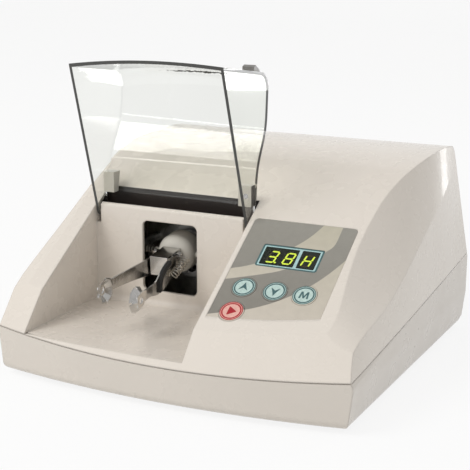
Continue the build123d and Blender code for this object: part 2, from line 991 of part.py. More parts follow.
key_flange_top = case_wall + key_under_gap
key_flange_foot = key_flange_top + key_flange
key_stem_foot = switch_top_depth - stem_gap
for key_name, spot in key_spots.items():
    with BuildPart() as key:
        add(panel_rod([spot], key_diameter, key_flange_top, key_flange_top - face_depth + key_proud))
        add(panel_rod([spot], key_diameter + 2 * key_flange, key_flange_foot, key_flange))
        add(panel_rod([spot], stem_diameter, key_stem_foot, key_stem_foot - key_flange_foot))
        fillet(key.faces().sort_by(Axis(panel_plane.origin, panel_plane.z_dir))[-1].edges(), radius=key_proud)
    key.part.label = key_name
    export_step(key.part, f"parts/{key_name}.step")

board_underside = board_depth + board_thickness
spacer_spots = [
    (board_left + spacer_inset, board_top - spacer_inset),
    (board_right - spacer_inset, board_top - spacer_inset),
    (lower_spacer_left, board_bottom + spacer_inset),
    (board_right - spacer_inset, board_bottom + spacer_inset),
]
with BuildPart() as control_board:
    add(panel_plate(board_left, board_right, board_bottom, board_top, 2, board_underside, board_thickness))
    with BuildSketch(panel_plane.offset(-board_depth)):
        with Locations(list(key_spots.values())):
            Rectangle(switch_width, switch_width)
    extrude(amount=board_depth - switch_top_depth - switch_button_height)
    add(panel_rod(list(key_spots.values()), switch_button_diameter, board_depth, board_depth - switch_top_depth))
    add(
        panel_rod(spacer_spots, board_screw_diameter + 2 * screw_clearance, board_underside + 1, 3 * board_thickness),
        mode=Mode.SUBTRACT,
    )
control_board.part.label = "control_board"
export_step(control_board.part, "parts/control_board.step")

with BuildPart() as board_spacers:
    add(panel_rod(spacer_spots, spacer_diameter, board_depth, board_depth - case_wall))
    add(panel_rod(spacer_spots, board_screw_diameter, board_depth, board_screw_grip), mode=Mode.SUBTRACT)
board_spacers.part.label = "board_spacers"
export_step(board_spacers.part, "parts/board_spacers.step")

with BuildPart() as board_screws:
    add(panel_rod(spacer_spots, board_screw_head[0], board_underside + board_screw_head[1], board_screw_head[1]))
    add(panel_rod(spacer_spots, board_screw_diameter, board_underside, board_thickness + board_screw_grip))
board_screws.part.label = "board_screws"
export_step(board_screws.part, "parts/board_screws.step")

with BuildPart() as display_module:
    add(display_plate(-module_inset, board_depth, board_depth - window_back - module_gap))
display_module.part.label = "display_module"
export_step(display_module.part, "parts/display_module.step")

# ---------------------------------------------------------------- mixing head
arm_plane = Plane(origin=journal_centre, x_dir=(1, 0, 0), z_dir=head_up)
side_plane = Plane(origin=journal_centre, x_dir=head_forward, z_dir=(-1, 0, 0))
knuckle_across = fork_width / 2 + knuckle_side_gap + knuckle_radius
ear_bottom = knuckle_height / 2 + ear_gap
ear_top = ear_bottom + ear_sheet


def head_rod(radius, ahead, length):
    """A round bar along the head's own axis."""
    with BuildPart() as rod:
        with BuildSketch(head_plane.offset(ahead)):
            Circle(radius)
        extrude(amount=length)
    return rod.part


def head_box(half_across, bottom, top, rear, front):
    """A box in the head's own directions, middle on its axis across."""
    with BuildPart() as box:
        with BuildSketch(head_plane.offset(rear)):
            with Locations((0, (bottom + top) / 2)):
                Rectangle(2 * half_across, top - bottom)
        extrude(amount=front - rear)
    return box.part


def across_rods(radius, inner, outer):
    """Two round bars to the left and the right of the head."""
    with BuildPart() as rods:
        for side in (-1, 1):
            with BuildSketch(Plane(origin=head_point(side * inner, 0, 0), z_dir=(side, 0, 0))):
                Circle(radius)
            extrude(amount=outer - inner)
    return rods.part


def knuckle_rods(radius, bottom, top):
    """Upright bars at both knuckles, along the head's own up direction."""
    with BuildPart() as rods:
        with BuildSketch(arm_plane.offset(bottom)):
            with Locations((-knuckle_across, -knuckle_ahead), (knuckle_across, -knuckle_ahead)):
                Circle(radius)
        extrude(amount=top - bottom)
    return rods.part


with BuildPart() as head_housing:
    add(head_rod(housing_diameter / 2, -housing_rear, housing_rear + housing_front))
    housing_nose = head_housing.faces().sort_by(Axis(journal_centre, head_forward))[-1]
    fillet(housing_nose.edges(), radius=housing_front_radius)
    add(across_rods(lug_diameter / 2, housing_diameter / 2 - 1, housing_diameter / 2 + lug_length))
    add(
        head_rod(bearing_diameter / 2 + press_clearance, -housing_rear - 1, housing_rear + 1 + bearing_width / 2),
        mode=Mode.SUBTRACT,
    )
    add(head_rod(relief_diameter / 2, 0, bearing_width / 2 + relief_depth), mode=Mode.SUBTRACT)
head_housing.part.label = "head_housing"
export_step(head_housing.part, "parts/head_housing.step")

with BuildPart() as journal_bearing:
    add(head_rod(bearing_diameter / 2, -bearing_width / 2, bearing_width))
    add(head_rod(journal_diameter / 2 + journal_clearance, -bearing_width, 2 * bearing_width), mode=Mode.SUBTRACT)
journal_bearing.part.label = "journal_bearing"
export_step(journal_bearing.part, "parts/journal_bearing.step")

with BuildPart() as fork_bracket:
    half = fork_width / 2
    add(head_box(half, -half, half, housing_front, fork_front))
    add(
        head_box(
            half - fork_sheet,
            -half - 1,
            half - fork_sheet,
            housing_front + fork_sheet,
            fork_front - fork_sheet,
        ),
        mode=Mode.SUBTRACT,
    )
    for foot in (ear_bottom, -ear_top):
        with BuildSketch(arm_plane.offset(foot)):
            with Locations((0, -knuckle_ahead)):
                SlotOverall(2 * (knuckle_across + knuckle_radius), 2 * knuckle_radius)
                Rectangle(2 * (half - fork_sheet), 2 * knuckle_radius, mode=Mode.SUBTRACT)
        extrude(amount=ear_sheet)
    add(knuckle_rods(jaw_pin_diameter / 2, -2 * ear_top, 2 * ear_top), mode=Mode.SUBTRACT)
fork_bracket.part.label = "fork_bracket"
export_step(fork_bracket.part, "parts/fork_bracket.step")

with BuildPart() as jaw_pins:
    add(knuckle_rods(jaw_pin_diameter / 2, -ear_top - pin_stand_out, ear_top + pin_stand_out))
jaw_pins.part.label = "jaw_pins"
export_step(jaw_pins.part, "parts/jaw_pins.step")



# An arm's plan is (across, ahead) along its strip; its edges are (ahead, up).
arm_root_across = knuckle_across - knuckle_radius + arm_thickness
cup_back_across = cup_gap / 2 + cup_depth - arm_thickness / 2
arm_root_ahead = knuckle_ahead - knuckle_radius
left_arm_plan = (
    (-arm_root_across, arm_root_ahead),
    (-arm_root_across, 28),
    (-12.5, 58),
    (-cup_back_across, 71),
    (-cup_back_across, cup_ahead + cup_base_across / 2),
)
left_arm_upper = (
    (arm_root_ahead, 4.2),
    (20, 4.3),
    (30, 4.3),
    (58, 4.2),
    (cup_ahead + cup_base_across / 2, 4),
)
left_arm_lower = (
    (arm_root_ahead, -4.2),
    (18, -4.3),
    (22, -6.2),
    (28, -7),
    (42, -5.4),
    (58, -3.9),
    (cup_ahead + cup_base_across / 2, -3),
)
left_cup_up = 0.7
right_arm_plan = (
    (arm_root_across, arm_root_ahead),
    (arm_root_across, 30),
    (8.8, 46),
    (10.5, 58),
    (cup_back_across, 72),
    (cup_back_across, cup_ahead + cup_base_across / 2),
)
right_arm_upper = (
    (arm_root_ahead, 4.2),
    (18, 4.3),
    (21.5, 5.8),
    (26, 6.5),
    (32, 6),
    (39, 4),
    (44, 1.2),
    (49, -0.8),
    (58, -0.8),
    (cup_ahead + cup_base_across / 2, 1.4),
)
right_arm_lower = (
    (arm_root_ahead, -4.2),
    (18, -4.3),
    (21.5, -6),
    (26, -7.6),
    (34, -9.5),
    (46, -11),
    (58, -8),
    (cup_ahead + cup_base_across / 2, -6),
)
right_cup_up = -2.3


def arm_strip(plan, upper, lower):
    """A bent sheet-metal strip that follows its plan and keeps between its upper and lower edges."""
    with BuildPart() as strip:
        with BuildSketch(side_plane):
            with BuildLine():
                Spline(*upper)
                Line(upper[-1], lower[-1])
                Spline(*reversed(lower))
                Line(lower[0], upper[0])
            make_face()
        extrude(amount=reach, both=True)
        with BuildSketch(arm_plane.offset(-reach)):
            with BuildLine():
                FilletPolyline(*[(across, -ahead) for across, ahead in plan], radius=arm_bend_radius)
            trace(line_width=arm_thickness)
        extrude(amount=2 * reach, mode=Mode.INTERSECT)
    return strip.part


def capsule_cup(side, up):
    """A dished octagonal cup with its hollow towards the middle."""
    rim_plane = Plane(
        origin=head_point(side * cup_gap / 2, up, cup_ahead), x_dir=head_forward, z_dir=(side, 0, 0)
    )
    inner_rim = cup_across - 2 * cup_wall
    inner_base = cup_base_across - 2 * cup_wall
    with BuildPart() as cup:
        with BuildSketch(rim_plane):
            RegularPolygon(cup_across / 2, 8, major_radius=False)
        with BuildSketch(rim_plane.offset(cup_depth)):
            RegularPolygon(cup_base_across / 2, 8, major_radius=False)
        loft()
        with BuildSketch(rim_plane):
            RegularPolygon(inner_rim / 2, 8, major_radius=False)
        with BuildSketch(rim_plane.offset(cup_depth - cup_wall)):
            RegularPolygon(inner_base / 2, 8, major_radius=False)
        loft(mode=Mode.SUBTRACT)
        with BuildSketch(rim_plane):
            with PolarLocations(cup_across / 2, cup_notch_count):
                Rectangle(2 * cup_notch, cup_notch)
        extrude(amount=cup_notch, mode=Mode.SUBTRACT)
        with BuildSketch(rim_plane):
            Circle(cup_hole / 2)
        extrude(amount=2 * cup_depth, mode=Mode.SUBTRACT)
    return cup.part


def jaw_arm(side, plan, upper, lower, cup_up):
    """A spring-loaded arm: knuckle on its pin, bent strip and capsule cup."""
    cup_middle = Plane(origin=head_point(0, cup_up, cup_ahead), x_dir=head_forward, z_dir=(side, 0, 0))
    with BuildPart() as arm:
        with BuildSketch(arm_plane.offset(-knuckle_height / 2)):
            with Locations((side * knuckle_across, -knuckle_ahead)):
                Circle(knuckle_radius)
        extrude(amount=knuckle_height)
        add(arm_strip(plan, upper, lower))
        add(capsule_cup(side, cup_up))
        with BuildSketch(cup_middle):
            Circle(cup_hole / 2)
        extrude(amount=cup_gap, mode=Mode.SUBTRACT)
        add(
            knuckle_rods(jaw_pin_diameter / 2 + jaw_pin_clearance, -knuckle_height, knuckle_height),
            mode=Mode.SUBTRACT,
        )
    return arm.part


with BuildPart() as left_arm:
    add(jaw_arm(-1, left_arm_plan, left_arm_upper, left_arm_lower, left_cup_up))
left_arm.part.label = "left_arm"
export_step(left_arm.part, "parts/left_arm.step")

with BuildPart() as right_arm:
    add(jaw_arm(1, right_arm_plan, right_arm_upper, right_arm_lower, right_cup_up))
right_arm.part.label = "right_arm"
export_step(right_arm.part, "parts/right_arm.step")

damper_line = ((31, 5), (38.5, 2.9), (43.6, -0.6), (46, -5), (46.2, -9.5))
with BuildPart() as jaw_damper:
    with BuildSketch(side_plane.offset(-arm_root_across - arm_thickness / 2)):
        with BuildLine():
            Spline(*damper_line)
        trace(line_width=damper_width)
    extrude(amount=-damper_thickness - arm_thickness)
    add(right_arm.part, mode=Mode.SUBTRACT)
jaw_damper.part.label = "jaw_damper"
export_step(jaw_damper.part, "parts/jaw_damper.step")


def coil_point(start, along, radial, sideways, mean_radius, pitch, angle):
    """The place and direction of a coil spring's wire after a turn by an angle."""
    spot = (
        start
        + radial * mean_radius * cos(angle)
        + sideways * mean_radius * sin(angle)
        + along * pitch * angle / (2 * pi)
    )
    heading = sideways * mean_radius * cos(angle) - radial * mean_radius * sin(angle) + along * pitch / (2 * pi)
    return spot, heading.normalized()


def coil_spring(start, end, radial, mean_radius, wire, turns):
    """One unbroken wire: a helix of quarter turns, each on two tangent arcs, with straight ends."""
    along = (end - start).normalized()
    radial = (radial - along * radial.dot(along)).normalized()
    sideways = along.cross(radial)
    pitch = (end - start).length / turns
    steps = 4 * turns
    stations = [
        coil_point(start, along, radial, sideways, mean_radius, pitch, step * pi / 2) for step in range(steps + 1)
    ]
    with BuildPart() as spring:
        with BuildLine():
            Line(stations[0][0] - stations[0][1] * wire, stations[0][0])
            for (spot, heading), (next_spot, next_heading) in zip(stations, stations[1:]):
                chord = next_spot - spot
                both = heading + next_heading
                square = both.dot(both) - 4
                reach_out = (chord.dot(both) - sqrt(chord.dot(both) ** 2 - square * chord.dot(chord))) / square
                joint = (spot + heading * reach_out + next_spot - next_heading * reach_out) / 2
                first = TangentArc(spot, joint, tangent=heading)
                TangentArc(joint, next_spot, tangent=first % 1)
            Line(stations[-1][0], stations[-1][0] + stations[-1][1] * wire)
        with BuildSketch(Plane(origin=stations[0][0] - stations[0][1] * wire, z_dir=stations[0][1])):
            Circle(wire / 2)
        sweep()
    return spring.part


def least_coil_gap(start, end, mean_radius, wire, turns):
    """The least space between one curl of a coil spring and the next, measured on points along its wire."""
    samples = 48
    along = (end - start).normalized()
    radial = along.cross(Vector(0, 0, 1)).normalized()
    pitch = (end - start).length / turns
    points = [
        coil_point(start, along, radial, along.cross(radial), mean_radius, pitch, 2 * pi * step / samples)[0]
        for step in range(samples * turns + 1)
    ]
    apart = [
        (points[later] - points[first]).length
        for first in range(0, samples * (turns - 1), samples // 8)
        for later in range(first + samples // 2, len(points))
    ]
    return min(apart) - wire


jaw_spring_radius = (jaw_spring_diameter - jaw_spring_wire) / 2
jaw_spring_side = jaw_spring_diameter / 2 + spring_touch_gap
jaw_spring_start = head_point(
    knuckle_across + knuckle_radius + jaw_spring_side,
    jaw_spring_up[0],
    jaw_spring_ahead[0],
)
jaw_spring_end = head_point(
    arm_root_across + arm_thickness / 2 + jaw_spring_side,
    jaw_spring_up[1],
    jaw_spring_ahead[1],
)
with BuildPart() as jaw_spring:
    add(
        coil_spring(
            jaw_spring_start,
            jaw_spring_end,
            Vector(-1, 0, 0),
            jaw_spring_radius,
            jaw_spring_wire,
            jaw_spring_turns,
        )
    )
jaw_spring.part.label = "jaw_spring"
export_step(jaw_spring.part, "parts/jaw_spring.step")
jaw_spring_gap = least_coil_gap(
    jaw_spring_start, jaw_spring_end, jaw_spring_radius, jaw_spring_wire, jaw_spring_turns
)
print("jaw spring, least gap between curls", round(jaw_spring_gap, 2))

# ---------------------------------------------------------------- drive
post_front_back = journal_back - anchor_diameter / 2
hub_rear_back = hub_front_back + hub_width
bracket_front_back = motor_back - bracket_sheet
bracket_foot = case_floor + isolator_height
shaft_end_back = motor_back + motor_boss_length + shaft_engagement
screw_circle_spots = [
    (side * motor_screw_offset, up * motor_screw_offset) for side in (-1, 1) for up in (-1, 1)
]


def drive_rod(spots, radius, front, rear):
    """Round bars along the drive's axis, at spots beside it, between two distances back."""
    with BuildPart() as rods:
        with BuildSketch(drive_plane.offset(front)):
            with Locations(spots):
                Circle(radius)
        extrude(amount=rear - front)
    return rods.part


with BuildPart() as drive_shaft:
    add(drive_rod([(0, 0)], shaft_diameter / 2, hub_front_back, shaft_end_back))
    add(drive_rod([(0, 0)], hub_diameter / 2, hub_front_back, hub_rear_back))
    add(
        head_rod(
            journal_diameter / 2,
            journal_back - hub_front_back - hub_width / 2,
            hub_front_back + hub_width / 2 - journal_back + bearing_width / 2,
        )
    )
drive_shaft.part.label = "drive_shaft"
export_step(drive_shaft.part, "parts/drive_shaft.step")

wheel_front_back = hub_rear_back + wheel_gap
with BuildPart() as balance_wheel:
    add(drive_rod([(0, 0)], wheel_diameter / 2, wheel_front_back, wheel_front_back + wheel_width))
    chamfer(balance_wheel.edges().filter_by(GeomType.CIRCLE), length=wheel_chamfer)
    add(drive_rod([(0, 0)], shaft_diameter / 2 + press_clearance, hub_rear_back, motor_back), mode=Mode.SUBTRACT)
    with BuildSketch(drive_plane.offset(hub_rear_back)):
        with PolarLocations(wheel_hole_offset, 3, start_angle=30, angular_range=120, endpoint=True):
            Circle(wheel_hole_diameter / 2)
    extrude(amount=motor_back - hub_rear_back, mode=Mode.SUBTRACT)
balance_wheel.part.label = "balance_wheel"
export_step(balance_wheel.part, "parts/balance_wheel.step")

with BuildPart() as drive_motor:
    add(drive_rod([(0, 0)], motor_diameter / 2, motor_back, motor_back + motor_length))
    chamfer(drive_motor.edges().filter_by(GeomType.CIRCLE), length=wheel_chamfer)
    add(drive_rod([(0, 0)], motor_boss_diameter / 2, motor_back - motor_boss_length, motor_back))
    add(
        drive_rod(
            [(0, 0)],
            motor_boss_diameter / 2,
            motor_back + motor_length,
            motor_back + motor_length + motor_boss_length,
        )
    )
    add(
        drive_rod([(0, 0)], shaft_diameter / 2 + journal_clearance, hub_rear_back, shaft_end_back + 1),
        mode=Mode.SUBTRACT,
    )
    add(
        drive_rod(screw_circle_spots, case_screw_diameter / 2, motor_back - 1, motor_back + motor_screw_grip),
        mode=Mode.SUBTRACT,
    )
drive_motor.part.label = "drive_motor"
export_step(drive_motor.part, "parts/drive_motor.step")

with BuildPart() as motor_bracket:
    add(
        block(
            drive_x - bracket_width / 2,
            drive_x + bracket_width / 2,
            bracket_front_back,
            motor_back,
            bracket_foot,
            bracket_top,
        )
    )
    add(
        block(
            drive_x - bracket_width / 2,
            drive_x + bracket_width / 2,
            bracket_front_back,
            bracket_front_back + bracket_length,
            bracket_foot,
            bracket_foot + bracket_sheet,
        )
    )
    add(
        drive_rod([(0, 0)], motor_boss_diameter / 2 + press_clearance, bracket_front_back - 1, motor_back + 1),
        mode=Mode.SUBTRACT,
    )
    add(
        drive_rod(
            screw_circle_spots, case_screw_diameter / 2 + screw_clearance, bracket_front_back - 1, motor_back + 1
        ),
        mode=Mode.SUBTRACT,
    )
motor_bracket.part.label = "motor_bracket"
export_step(motor_bracket.part, "parts/motor_bracket.step")

with BuildPart() as motor_screws:
    add(
        drive_rod(
            screw_circle_spots,
            screw_head_diameter / 2,
            bracket_front_back - screw_head_height,
            bracket_front_back,
        )
    )
    add(
        drive_rod(
            screw_circle_spots, case_screw_diameter / 2, bracket_front_back, motor_back + motor_screw_grip - 1
        )
    )
motor_screws.part.label = "motor_screws"
export_step(motor_screws.part, "parts/motor_screws.step")

isolator_spots = [
    (drive_x + side * (bracket_width / 2 - isolator_inset), behind(back))
    for side in (-1, 1)
    for back in (bracket_front_back + isolator_inset, bracket_front_back + bracket_length - isolator_inset)
]
with BuildPart() as rubber_isolators:
    with BuildSketch(Plane.XY.offset(case_floor)):
        with Locations(isolator_spots):
            Circle(isolator_diameter / 2)
    extrude(amount=isolator_height)
rubber_isolators.part.label = "rubber_isolators"
export_step(rubber_isolators.part, "parts/rubber_isolators.step")

with BuildPart() as spring_anchors:
    add(
        drive_rod(
            [(-anchor_offset, 0), (anchor_offset, 0)], anchor_diameter / 2, post_front_back, bracket_front_back
        )
    )
spring_anchors.part.label = "spring_anchors"
export_step(spring_anchors.part, "parts/spring_anchors.step")

restraint_radius = (restraint_spring_diameter - restraint_spring_wire) / 2
restraint_inner = housing_diameter / 2 + lug_length + lug_spring_gap + restraint_spring_wire / 2
restraint_outer = anchor_offset - anchor_diameter / 2 - restraint_spring_wire / 2
with BuildPart() as restraint_springs:
    for side in (-1, 1):
        add(
            coil_spring(
                head_point(side * restraint_inner, 0, 0),
                head_point(side * restraint_outer, 0, 0),
                Vector(0, 1, 0),
                restraint_radius,
                restraint_spring_wire,
                restraint_spring_turns,
            )
        )
restraint_springs.part.label = "restraint_springs"
export_step(restraint_springs.part, "parts/restraint_springs.step")
restraint_gap = least_coil_gap(
    head_point(restraint_inner, 0, 0),
    head_point(restraint_outer, 0, 0),
    restraint_radius,
    restraint_spring_wire,
    restraint_spring_turns,
)
print("restraint springs, least gap between curls", round(restraint_gap, 2))

# ---------------------------------------------------------------- power side
def standing_block(spot, size, bottom):
    """A block of a size standing at a height over a spot beside and behind the middle of the front edge."""
    return block(
        spot[0] - size[0] / 2,
        spot[0] + size[0] / 2,
        spot[1] - size[1] / 2,
        spot[1] + size[1] / 2,
        bottom,
        bottom + size[2],
    )


def upright_rods(spots, diameter, bottom, top):
    """Round upright rods at spots beside and behind the middle of the front edge."""
    with BuildPart() as rods:
        with BuildSketch(Plane.XY.offset(bottom)):
            with Locations([(x, behind(back)) for x, back in spots]):
                Circle(diameter / 2)
        extrude(amount=top - bottom)
    return rods.part


with BuildPart() as transformer:
    stack_size = (transformer_size[0], transformer_stack, transformer_size[2])
    add(standing_block(transformer_spot, stack_size, case_floor))
    coil_bottom = case_floor + (transformer_size[2] - transformer_coil_height) / 2
    coil_size = (transformer_size[0] * 2 / 3, transformer_size[1], transformer_coil_height)
    add(standing_block(transformer_spot, coil_size, coil_bottom))
    foot_size = (transformer_size[0] + 4 * case_screw_diameter, transformer_stack, transformer_foot)
    add(standing_block(transformer_spot, foot_size, case_floor))
transformer.part.label = "transformer"
export_step(transformer.part, "parts/transformer.step")

standoff_spots = [
    (
        power_board_spot[0] + side * (power_board_size[0] / 2 - spacer_inset),
        power_board_spot[1] + end * (power_board_size[1] / 2 - spacer_inset),
    )
    for side in (-1, 1)
    for end in (-1, 1)
]
power_board_foot = case_floor + standoff_height
power_board_top = power_board_foot + board_thickness

with BuildPart() as power_board:
    add(standing_block(power_board_spot, (*power_board_size, board_thickness), power_board_foot))
    add(
        upright_rods(standoff_spots, board_screw_diameter + 2 * screw_clearance, case_floor, power_board_top + 1),
        mode=Mode.SUBTRACT,
    )
power_board.part.label = "power_board"
export_step(power_board.part, "parts/power_board.step")

with BuildPart() as standoffs:
    add(upright_rods(standoff_spots, spacer_diameter, case_floor, power_board_foot))
standoffs.part.label = "standoffs"
export_step(standoffs.part, "parts/standoffs.step")

with BuildPart() as standoff_screws:
    add(upright_rods(standoff_spots, board_screw_head[0], power_board_top, power_board_top + board_screw_head[1]))
    add(upright_rods(standoff_spots, board_screw_diameter, power_board_foot, power_board_top))
standoff_screws.part.label = "standoff_screws"
export_step(standoff_screws.part, "parts/standoff_screws.step")

with BuildPart() as smoothing_capacitor:
    add(upright_rods([capacitor_spot], capacitor_size[0], power_board_top, power_board_top + capacitor_size[1]))
    fillet(smoothing_capacitor.edges().filter_by(GeomType.CIRCLE), radius=1)
smoothing_capacitor.part.label = "smoothing_capacitor"
export_step(smoothing_capacitor.part, "parts/smoothing_capacitor.step")

with BuildPart() as relay:
    add(standing_block(relay_spot, relay_size, power_board_top))
relay.part.label = "relay"
export_step(relay.part, "parts/relay.step")

with BuildPart() as heat_sink:
    add(standing_block(heat_sink_spot, heat_sink_size, power_board_top))
    fin_plane = Plane.XY.offset(power_board_top + heat_sink_base)
    with BuildSketch(fin_plane):
        with Locations((heat_sink_spot[0], behind(heat_sink_spot[1]))):
            with GridLocations(heat_sink_size[0] / heat_sink_slots, 1, heat_sink_slots, 1):
                Rectangle(heat_sink_slot, 2 * heat_sink_size[1])
    extrude(amount=heat_sink_size[2], mode=Mode.SUBTRACT)
heat_sink.part.label = "heat_sink"
export_step(heat_sink.part, "parts/heat_sink.step")

# ---------------------------------------------------------------- rear panel
recess_back = body_depth - rear_recess


def rear_box(x, width, height, front, rear):
    """A block centred on the rear panel's height at a place across, between two distances back."""
    return block(x - width / 2, x + width / 2, front, rear, rear_panel_z - height / 2, rear_panel_z + height / 2)


def rear_rod(x, diameter, front, rear):
    """A round bar square to the rear panel at a place across, between two distances back."""
    with BuildPart() as rod:
        with BuildSketch(Plane.XZ.offset(-behind(rear))):
            with Locations((x, rear_panel_z)):
                Circle(diameter / 2)
        extrude(amount=rear - front)
    return rod.part


flange_rear = recess_back + rear_flange
with BuildPart() as mains_inlet:
    add(rear_box(inlet_x, inlet_size[0], inlet_size[1], recess_back - inlet_length, flange_rear))
    add(rear_box(inlet_x, inlet_size[0] + 2 * flange_lip, inlet_size[1] + 2 * flange_lip, recess_back, flange_rear))
    socket_width = inlet_size[0] - 2 * inlet_wall
    socket_height = inlet_size[1] - 2 * inlet_wall
    socket_floor = flange_rear - socket_depth
    add(rear_box(inlet_x, socket_width, socket_height, socket_floor, body_depth), mode=Mode.SUBTRACT)
    for across, up in ((-inlet_pin_pitch, -inlet_pin_drop), (0, inlet_pin_drop), (inlet_pin_pitch, -inlet_pin_drop)):
        add(
            block(
                inlet_x + across - inlet_pin[0] / 2,
                inlet_x + across + inlet_pin[0] / 2,
                socket_floor,
                flange_rear - rear_flange,
                rear_panel_z + up - inlet_pin[1] / 2,
                rear_panel_z + up + inlet_pin[1] / 2,
            )
        )
mains_inlet.part.label = "mains_inlet"
export_step(mains_inlet.part, "parts/mains_inlet.step")

with BuildPart() as fuse_holder:
    add(rear_rod(fuse_x, fuse_diameter, recess_back - fuse_length, flange_rear))
    add(rear_rod(fuse_x, fuse_diameter + 2 * flange_lip, recess_back, flange_rear))
    add(
        rear_rod(fuse_x, fuse_cap_diameter + 2 * fuse_cap_gap, recess_back - fuse_cap_depth, body_depth),
        mode=Mode.SUBTRACT,
    )
fuse_holder.part.label = "fuse_holder"
export_step(fuse_holder.part, "parts/fuse_holder.step")

with BuildPart() as fuse_cap:
    add(rear_rod(fuse_x, fuse_cap_diameter, recess_back - fuse_cap_depth + fuse_cap_gap, body_depth - rear_flange))
    slot_size = (fuse_cap_diameter * 2 / 3, fuse_cap_slot)
    add(rear_box(fuse_x, *slot_size, body_depth - rear_flange - fuse_cap_slot, body_depth), mode=Mode.SUBTRACT)
fuse_cap.part.label = "fuse_cap"
export_step(fuse_cap.part, "parts/fuse_cap.step")

rocker_pivot_back = recess_back - rocker_sunk
rocker_face = body_depth - rocker_inside - rocker_pivot_back
rocker_half = rocker_size[1] / 2
rocker_plane = Plane(
    origin=(switch_x - rocker_size[0] / 2, behind(rocker_pivot_back), rear_panel_z),
    x_dir=(0, cos(radians(rocker_tilt)), sin(radians(rocker_tilt))),
    z_dir=(1, 0, 0),
)
with BuildPart() as switch_housing:
    add(rear_box(switch_x, switch_size[0], switch_size[1], recess_back - switch_length, flange_rear))
    add(rear_box(switch_x, switch_size[0] + 2 * flange_lip, switch_size[1] + 2 * flange_lip, recess_back, flange_rear))
    cavity_floor = rocker_pivot_back - rocker_half - rocker_clearance
    add(
        rear_box(
            switch_x,
            rocker_size[0] + 2 * rocker_clearance,
            rocker_size[1] + 2 * rocker_clearance,
            cavity_floor,
            body_depth,
        ),
        mode=Mode.SUBTRACT,
    )
    pivot_plane = Plane.YZ.offset(switch_x - rocker_size[0] / 2 - rocker_stub)
    with BuildSketch(pivot_plane):
        with Locations((behind(rocker_pivot_back), rear_panel_z)):
            Circle(rocker_stub_diameter / 2 + hinge_clearance)
    extrude(amount=rocker_size[0] + 2 * rocker_stub, mode=Mode.SUBTRACT)
switch_housing.part.label = "switch_housing"
export_step(switch_housing.part, "parts/switch_housing.step")

with BuildPart() as switch_rocker:
    with BuildSketch(rocker_plane):
        Circle(rocker_half)
        with BuildLine():
            Polyline(
                (0, rocker_half - rocker_clearance),
                (rocker_face, rocker_half - rocker_taper),
                (rocker_face - rocker_dip, 0),
                (rocker_face, rocker_taper - rocker_half),
                (0, rocker_clearance - rocker_half),
                close=True,
            )
        make_face()
    extrude(amount=rocker_size[0])
    with BuildSketch(rocker_plane.offset(rocker_clearance - rocker_stub)):
        Circle(rocker_stub_diameter / 2)
    extrude(amount=rocker_size[0] + 2 * (rocker_stub - rocker_clearance))
switch_rocker.part.label = "switch_rocker"
export_step(switch_rocker.part, "parts/switch_rocker.step")
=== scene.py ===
"""Looks for the dental amalgamator: camera, materials, prints and light around the fixed frame."""
import json
import math

import bmesh
import bpy
from mathutils import Matrix, Vector

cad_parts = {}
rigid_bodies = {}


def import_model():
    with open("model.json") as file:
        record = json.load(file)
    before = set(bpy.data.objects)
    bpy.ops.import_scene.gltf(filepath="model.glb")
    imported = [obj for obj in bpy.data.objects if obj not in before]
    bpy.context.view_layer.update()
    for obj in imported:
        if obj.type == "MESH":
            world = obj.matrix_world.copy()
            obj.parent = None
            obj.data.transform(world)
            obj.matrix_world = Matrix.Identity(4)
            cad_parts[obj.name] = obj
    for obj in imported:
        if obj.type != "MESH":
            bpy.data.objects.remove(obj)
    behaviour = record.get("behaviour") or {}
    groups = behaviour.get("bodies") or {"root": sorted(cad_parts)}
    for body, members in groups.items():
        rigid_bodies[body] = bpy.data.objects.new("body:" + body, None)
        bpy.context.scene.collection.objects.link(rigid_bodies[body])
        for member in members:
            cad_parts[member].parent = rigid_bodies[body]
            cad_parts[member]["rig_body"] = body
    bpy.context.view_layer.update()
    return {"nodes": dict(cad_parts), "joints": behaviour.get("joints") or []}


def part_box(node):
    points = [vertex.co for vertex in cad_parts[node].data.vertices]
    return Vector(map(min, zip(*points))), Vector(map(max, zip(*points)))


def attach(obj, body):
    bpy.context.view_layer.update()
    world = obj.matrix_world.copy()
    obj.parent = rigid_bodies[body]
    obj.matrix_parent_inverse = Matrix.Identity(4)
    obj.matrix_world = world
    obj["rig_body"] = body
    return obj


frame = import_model()
nodes = frame["nodes"]
scene = bpy.context.scene
MM = 0.001

# ---------------------------------------------------------------- camera
CAMERA_PLACE = Vector((0.33562, -0.7258, 0.28518))
CAMERA_YAW, CAMERA_PITCH, CAMERA_ROLL = (math.radians(a) for a in (25.01, 14.33, 0.25))
CAMERA_LENS = 94.70

forward = Vector(
    (
        -math.sin(CAMERA_YAW) * math.cos(CAMERA_PITCH),
        math.cos(CAMERA_YAW) * math.cos(CAMERA_PITCH),
        -math.sin(CAMERA_PITCH),
    )
)
level_right = forward.cross(Vector((0, 0, 1))).normalized()
level_up = level_right.cross(forward)
right = level_right * math.cos(CAMERA_ROLL) + level_up * math.sin(CAMERA_ROLL)
up = level_up * math.cos(CAMERA_ROLL) - level_right * math.sin(CAMERA_ROLL)
camera_data = bpy.data.cameras.new("camera")
camera_data.lens = CAMERA_LENS
camera_data.sensor_width = 36
camera_data.clip_start = 0.01
camera = bpy.data.objects.new("camera", camera_data)
scene.collection.objects.link(camera)
turn = Matrix((right, up, -forward)).transposed().to_4x4()
camera.matrix_world = Matrix.Translation(CAMERA_PLACE) @ turn
scene.camera = camera
scene.view_settings.view_transform = "Standard"


# ---------------------------------------------------------------- node helpers
def linear(rgb):
    """An sRGB colour, 0 to 255, as the linear colour that a shader takes."""
    shares = [c / 255 for c in rgb]
    return tuple(c / 12.92 if c <= 0.04045 else ((c + 0.055) / 1.055) ** 2.4 for c in shares) + (1,)


def shade(rgb, by):
    return tuple(min(max(c * by, 0), 255) for c in rgb)


